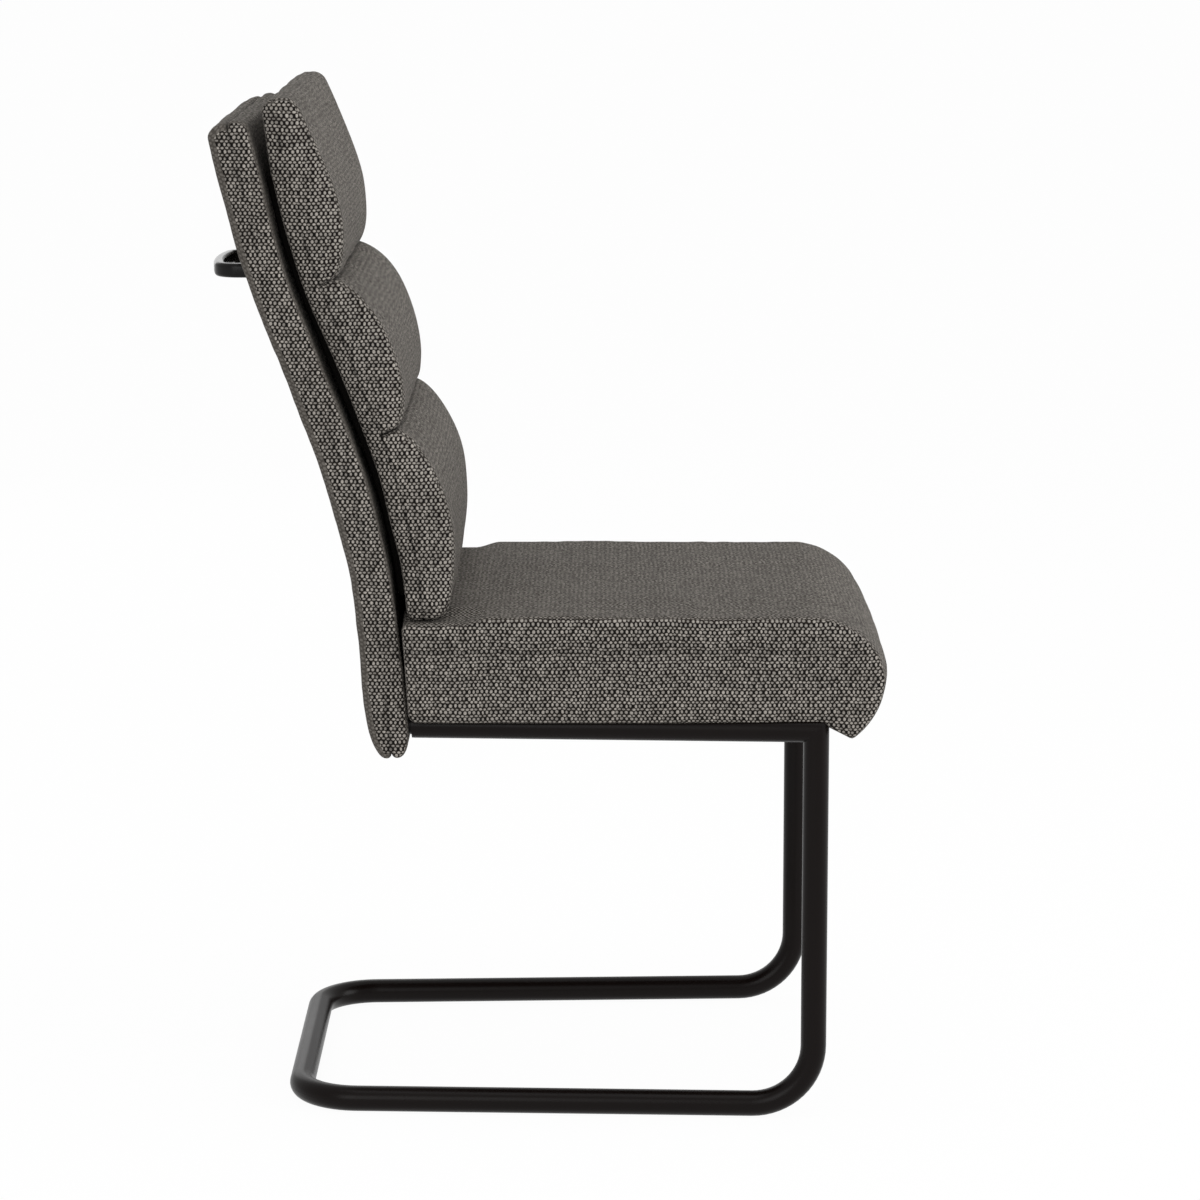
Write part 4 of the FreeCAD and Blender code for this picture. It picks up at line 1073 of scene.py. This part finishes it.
def seat_mesh(seat):
    lower, upper = seat_outline(seat)
    outline = np.concatenate([lower, upper[-2:0:-1]])
    inward = inward_of(outline)
    half = np.full(len(outline), seat_high.x)
    rounding = np.full(len(outline), seat.edge_round)
    pillow = Pillow(outline, inward, half, rounding, across=88, rounding=8, filling=22)
    on_top = (inward[:, 1] < -0.3) * np.clip(-inward[:, 1], 0.0, 1.0)
    below = outline[:, 1] < rail_high.z - 0.002
    lift = dust_high.z + seat.clearance - (rail_high.z - seat.drop)
    under = rise(outline[:, 0], sled_low.y + 0.001, sled_low.y + 0.012)
    step_width = 0.0012

    def shape(points, x, into):
        across = (np.abs(x) / seat_high.x) ** 4
        y, z = points[:, 0], points[:, 1]
        lower_front = rise(y, *DRAW_ALONG) * rise(z, *DRAW_HEIGHT)
        drawn = lower_front * (seat.front_draw + seat.lip_draw * rise(z, *LIP_HEIGHT))
        leaning = seat.rear_lean * (z - rail_high.z) * rise(y, *LEAN_ALONG)
        crowned = z + seat.crown * (1.0 - (x / seat_high.x) ** 2) * on_top
        crowned -= seat.pressed * pressed_across(x) * rise(y, *PRESS_ALONG) * rise(z, *PRESS_HEIGHT)
        inner = np.interp(y, [sled_low.y, rail_high.y], RAIL_INNER)
        lifted = 1.0 / (1.0 + np.exp((x - inner) / step_width))
        return np.stack([x + 0.0012 * into * (2.0 - into), y + drawn * across + leaning,
                         crowned + lift * lifted * below * under], 1)

    return skin("seat_cushion", stack_of(pillow, shape))


class CHAIR_OT_seat(bpy.types.Operator):
    """Upholsters the seat with its rolled front"""
    bl_idname = "chair.seat"
    bl_label = "Seat Cushion"

    def execute(self, context):
        seat = context.scene.chair_seat
        mesh = seat_mesh(seat)
        points = mesh_points(mesh)
        sideways = np.abs(points[:, 0]) > seat_high.x - 0.006
        long_seam = near(points[:, 2], seat.seam_height, 0.0012) * (points[:, 1] > seat.seam_front)
        end_seam = near(points[:, 1], seat.seam_front, 0.0012) * (points[:, 2] < seat.seam_height)
        side_seam = np.maximum(long_seam, end_seam) * sideways
        above = np.clip((points[:, 2] - WAVE_HEIGHT[0]) / (WAVE_HEIGHT[1] - WAVE_HEIGHT[0]), 0.0, 1.0)
        open_top = rise(points[:, 1], *WAVE_ALONG)
        edge = seat_high.x - np.abs(points[:, 0])
        folds = waves(points * [0.3, 1.0, 0.3], 0.018, 31) * np.exp(-edge / 0.020) * above
        heights = (seat.waviness * waves(points, 0.115, 30) * above + seat.pucker * folds) * open_top
        heights += seat.side_waviness * waves(points, 0.060, 32) * (1.0 - above)
        heights -= seat.seam_depth * side_seam
        push_out(mesh, heights * (points[:, 2] > rail_high.z))
        keep(mesh, "panel", side_panel(mesh, 0.52))
        keep(mesh, "plain", np.zeros(len(points)))
        keep(mesh, "seam", side_seam * 0.4)
        piece = add_piece("seat_cushion", mesh, cloth_of(context))
        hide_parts("seat_cover", "seat_foam")
        return {"FINISHED"}


class CHAIR_OT_dust_cover(bpy.types.Operator):
    """Staples the black dust cover under the seat"""
    bl_idname = "chair.dust_cover"
    bl_label = "Dust Cover"

    def execute(self, context):
        columns, rows = 60, 54
        xs = np.linspace(dust_low.x, dust_high.x, columns + 1)
        ys = np.linspace(dust_low.y, dust_high.y, rows + 1)
        x, y = (part.ravel() for part in np.meshgrid(xs, ys))
        points = np.stack([x, y, np.full(x.shape, dust_low.z)], 1)
        rim = np.minimum(dust_high.x - np.abs(x), np.minimum(y - dust_low.y, dust_high.y - y))
        points[:, 2] -= 0.0006 * waves(points, 0.05, 41) * np.clip(rim / 0.02, 0.0, 1.0)
        corners = np.arange((rows + 1) * (columns + 1)).reshape(rows + 1, columns + 1)
        quads = np.stack([corners[:-1, :-1], corners[1:, :-1], corners[1:, 1:], corners[:-1, 1:]], -1)
        mesh = bpy.data.meshes.new("dust_cover")
        mesh.from_pydata(points.tolist(), [], quads.reshape(-1, 4).tolist())
        piece = add_piece("dust_cover", mesh, felt(context.scene.chair_inside))
        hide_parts("seat_dust_cover")
        return {"FINISHED"}


# The handle

def handle_line(handle, start, reach):
    """Middle line of the bow from its left foot to its right one, with outward directions, as (x, y)."""
    arm_count, corner_count, bow_count = 8, 10, 12
    half, r = handle.half_width, handle.corner_round
    out = start + reach - handle.bow
    points = [(-half, start + (out - r - start) * step / arm_count) for step in range(arm_count)]
    for step in range(corner_count):
        turn = math.pi / 2.0 * step / corner_count
        points.append((-half + r * (1.0 - math.cos(turn)), out - r + r * math.sin(turn)))
    for step in range(bow_count + 1):
        x = -half + r + (half - r) * step / bow_count
        points.append((x, out + handle.bow * (1.0 - (x / (half - r)) ** 2)))
    points += [(-x, y) for x, y in reversed(points[:-1])]
    points = np.array(points)
    along = np.gradient(points, axis=0)
    along /= np.linalg.norm(along, axis=1)[:, None]
    return points, np.stack([-along[:, 1], along[:, 0]], 1)


def handle_section(handle, corner_count=6):
    """Outline of the bow's section: across it and upwards."""
    half_thick, half_height, r = handle.thick / 2.0, handle.height / 2.0, handle.section_round
    points = []
    for corner, (sx, sz) in enumerate(((1, 1), (-1, 1), (-1, -1), (1, -1))):
        for step in range(corner_count + 1):
            turn = math.pi / 2.0 * (corner + step / corner_count)
            points.append((sx * (half_thick - r) + r * math.cos(turn),
                           sz * (half_height - r) + r * math.sin(turn)))
    return np.array(points)


class CHAIR_OT_handle(bpy.types.Operator):
    """Bends the flat bow handle behind the back"""
    bl_idname = "chair.handle"
    bl_label = "Handle"

    def execute(self, context):
        handle = context.scene.chair_handle
        start = handle_low.y
        reach = handle_high.y - start - handle.thick / 2.0
        line, outward = handle_line(handle, start, reach)
        section = handle_section(handle)
        height = (handle_low.z + handle_high.z) / 2.0
        flat = line[:, None, :] + outward[:, None, :] * section[None, :, :1]
        rise_up = np.broadcast_to(height + section[None, :, 1:], (*flat.shape[:2], 1))
        rings = np.concatenate([flat, rise_up], 2)
        count, size = rings.shape[:2]
        ends = [list(range(size)), list(range((count - 1) * size, count * size))]
        mesh = bpy.data.meshes.new("bow_handle")
        mesh.from_pydata(rings.reshape(-1, 3).tolist(), [], ring_faces(count, size) + ends)
        made = bmesh.new()
        made.from_mesh(mesh)
        bmesh.ops.recalc_face_normals(made, faces=made.faces)
        made.to_mesh(mesh)
        made.free()
        metal = context.scene.chair_metal
        coat = powder_coat("handle_coat", metal.handle, metal.handle_roughness, metal.handle_shine)
        piece = add_piece("bow_handle", mesh, coat)
        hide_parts("handle")
        return {"FINISHED"}


# Finishes of the carried-over metal, wood and foam

def paint(names, material):
    for name in names:
        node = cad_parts[name]
        node.data.materials.clear()
        node.data.materials.append(material)


def cloth_of(context):
    """The one cloth that all cushions share."""
    known = bpy.data.materials.get("woven_cloth")
    return known or woven_cloth(context.scene.chair_cloth)


class CHAIR_OT_frame_finish(bpy.types.Operator):
    """Powder-coats the tubes, the cross bars and the fittings beside them"""
    bl_idname = "chair.frame_finish"
    bl_label = "Frame Finish"

    def execute(self, context):
        metal = context.scene.chair_metal
        coat = powder_coat("powder_coat", metal.coat, metal.coat_roughness, metal.coat_shine)
        satin = powder_coat("handle_finish", metal.handle, metal.handle_roughness, metal.handle_shine)
        paint(["sled_tube", "seat_rail_left", "seat_rail_right", "rail_end_plugs", "back_mount_bosses",
               "front_cross_bar", "rear_cross_bar"], coat)
        paint(["handle"], satin)
        return {"FINISHED"}


class CHAIR_OT_inner_finish(bpy.types.Operator):
    """Gives the hidden steel, zinc, plywood and foam their finishes"""
    bl_idname = "chair.inner_finish"
    bl_label = "Inner Finishes"

    def execute(self, context):
        metal = context.scene.chair_metal
        inside = context.scene.chair_inside
        paint(["back_upright_left", "back_upright_right", "back_top_bar", "back_bottom_bar",
               "back_handle_bar"],
              bright_metal("bare_steel", metal.steel, metal.steel_roughness))
        paint(["seat_tee_nuts", "seat_bolts", "seat_bolt_washers", "back_mount_washers", "back_mount_bolts",
               "cushion_tee_nuts", "cushion_screws", "handle_screws"],
              bright_metal("zinc_plate", metal.zinc, metal.zinc_roughness))
        paint(["seat_board", "back_board", "cushion_backing_board"], plywood(inside))
        paint(["seat_foam", "pad_front_foam", "pad_rear_foam", "lower_bolster_foam", "middle_bolster_foam",
               "upper_bolster_foam"], foam(inside))
        return {"FINISHED"}


# Camera, lights and floor

def softbox(name, place, aim_height, size, watts):
    """A square lamp that faces the chair's middle at some height."""
    data = bpy.data.lights.new(name, "AREA")
    data.shape = "SQUARE"
    data.size = size
    data.energy = watts
    lamp = bpy.data.objects.new(name, data)
    lamp.location = place
    aim = Vector((0.0, 0.0, aim_height)) - Vector(place)
    lamp.rotation_euler = aim.to_track_quat("-Z", "Y").to_euler()
    bpy.context.scene.collection.objects.link(lamp)


def seen(r):
    """1 on rays that show the background itself: straight, mirrored or through glass."""
    ray = r.node("ShaderNodeLightPath")
    straight_or_mirrored = r.maths("MAXIMUM", ray.out("Is Camera Ray"), ray.out("Is Glossy Ray"))
    return r.maths("MAXIMUM", straight_or_mirrored, ray.out("Is Transmission Ray"))


def floor_material(stage):
    """A pale floor that shows white with the chair's soft shadow on it."""
    r = Recipe("studio_floor")
    grain = r.noise(r.place(), 30.0, 3.0)
    lit = r.node("ShaderNodeBsdfDiffuse", None, {"Color": (0.985 + grain * 0.03) * stage.floor_colour})
    glow = r.node("ShaderNodeEmission", None, {"Color": 1.0, "Strength": 1.0})
    shown = r.node("ShaderNodeMixShader", None, {0: seen(r) * stage.floor_glow, 1: lit, 2: glow})
    r.node("ShaderNodeOutputMaterial", None, {"Surface": shown})
    return r.data


def studio_world(stage):
    """Light from all round, and plain white wherever the background shows."""
    r = Recipe("studio", bpy.data.worlds)
    back = r.node("ShaderNodeBackground", None, {"Strength": r.choose(seen(r), stage.sky, 1.0)})
    r.node("ShaderNodeOutputWorld", None, {"Surface": back})
    bpy.context.scene.world = r.data


class CHAIR_OT_stage(bpy.types.Operator):
    """Sets up the floor, the studio lights and the camera"""
    bl_idname = "chair.stage"
    bl_label = "Stage"

    def execute(self, context):
        stage = context.scene.chair_stage
        studio_world(stage)
        mesh = bpy.data.meshes.new("studio_floor")
        made = bmesh.new()
        bmesh.ops.create_circle(made, cap_ends=True, segments=64, radius=60.0)
        made.to_mesh(mesh)
        made.free()
        floor = bpy.data.objects.new("studio_floor", mesh)
        context.scene.collection.objects.link(floor)
        mesh.materials.append(floor_material(stage))
        for name, place, aim_height, size in SOFTBOXES:
            softbox(name, place, aim_height, size, getattr(stage, name))
        data = bpy.data.cameras.new("camera")
        data.sensor_width = 36.0
        data.lens = stage.focal
        data.clip_end = 200.0
        camera = bpy.data.objects.new("camera", data)
        camera.location = (stage.camera_x, stage.camera_y, stage.camera_z)
        camera.rotation_euler = (math.pi / 2.0 - stage.camera_tilt, 0.0, stage.camera_turn - math.pi / 2.0)
        context.scene.collection.objects.link(camera)
        context.scene.camera = camera
        context.scene.view_settings.view_transform = "Standard"
        return {"FINISHED"}


SETTINGS = {
    "chair_back_line": BackLine,
    "chair_rear_pad": RearPad,
    "chair_front_cushion": FrontCushion,
    "chair_seat": SeatCushion,
    "chair_handle": Handle,
    "chair_cloth": Cloth,
    "chair_metal": Metal,
    "chair_inside": Inside,
    "chair_stage": Stage,
}
OPERATORS = [CHAIR_OT_seat, CHAIR_OT_rear_pad, CHAIR_OT_front_cushion, CHAIR_OT_spacer, CHAIR_OT_dust_cover,
             CHAIR_OT_handle, CHAIR_OT_frame_finish, CHAIR_OT_inner_finish, CHAIR_OT_stage]


class CHAIR_PT_panel(bpy.types.Panel):
    """Lists the chair's pieces and their settings"""
    bl_idname = "CHAIR_PT_panel"
    bl_label = "Cantilever Chair"
    bl_space_type = "VIEW_3D"
    bl_region_type = "UI"
    bl_category = "Chair"

    def draw(self, context):
        for operator in OPERATORS:
            self.layout.operator(operator.bl_idname)
        for name, group in SETTINGS.items():
            box = self.layout.box()
            box.label(text=group.__doc__)
            for setting in group.__annotations__:
                box.prop(getattr(context.scene, name), setting)


def register():
    for group in SETTINGS.values():
        bpy.utils.register_class(group)
    for name, group in SETTINGS.items():
        setattr(bpy.types.Scene, name, PointerProperty(type=group))
    for operator in OPERATORS:
        bpy.utils.register_class(operator)
    bpy.utils.register_class(CHAIR_PT_panel)


def unregister():
    bpy.utils.unregister_class(CHAIR_PT_panel)
    for operator in reversed(OPERATORS):
        bpy.utils.unregister_class(operator)
    for name, group in reversed(SETTINGS.items()):
        delattr(bpy.types.Scene, name)
        bpy.utils.unregister_class(group)


def main():
    register()
    for operator in OPERATORS:
        group, name = operator.bl_idname.split(".")
        getattr(getattr(bpy.ops, group), name)()


if __name__ == "__main__":
    main()
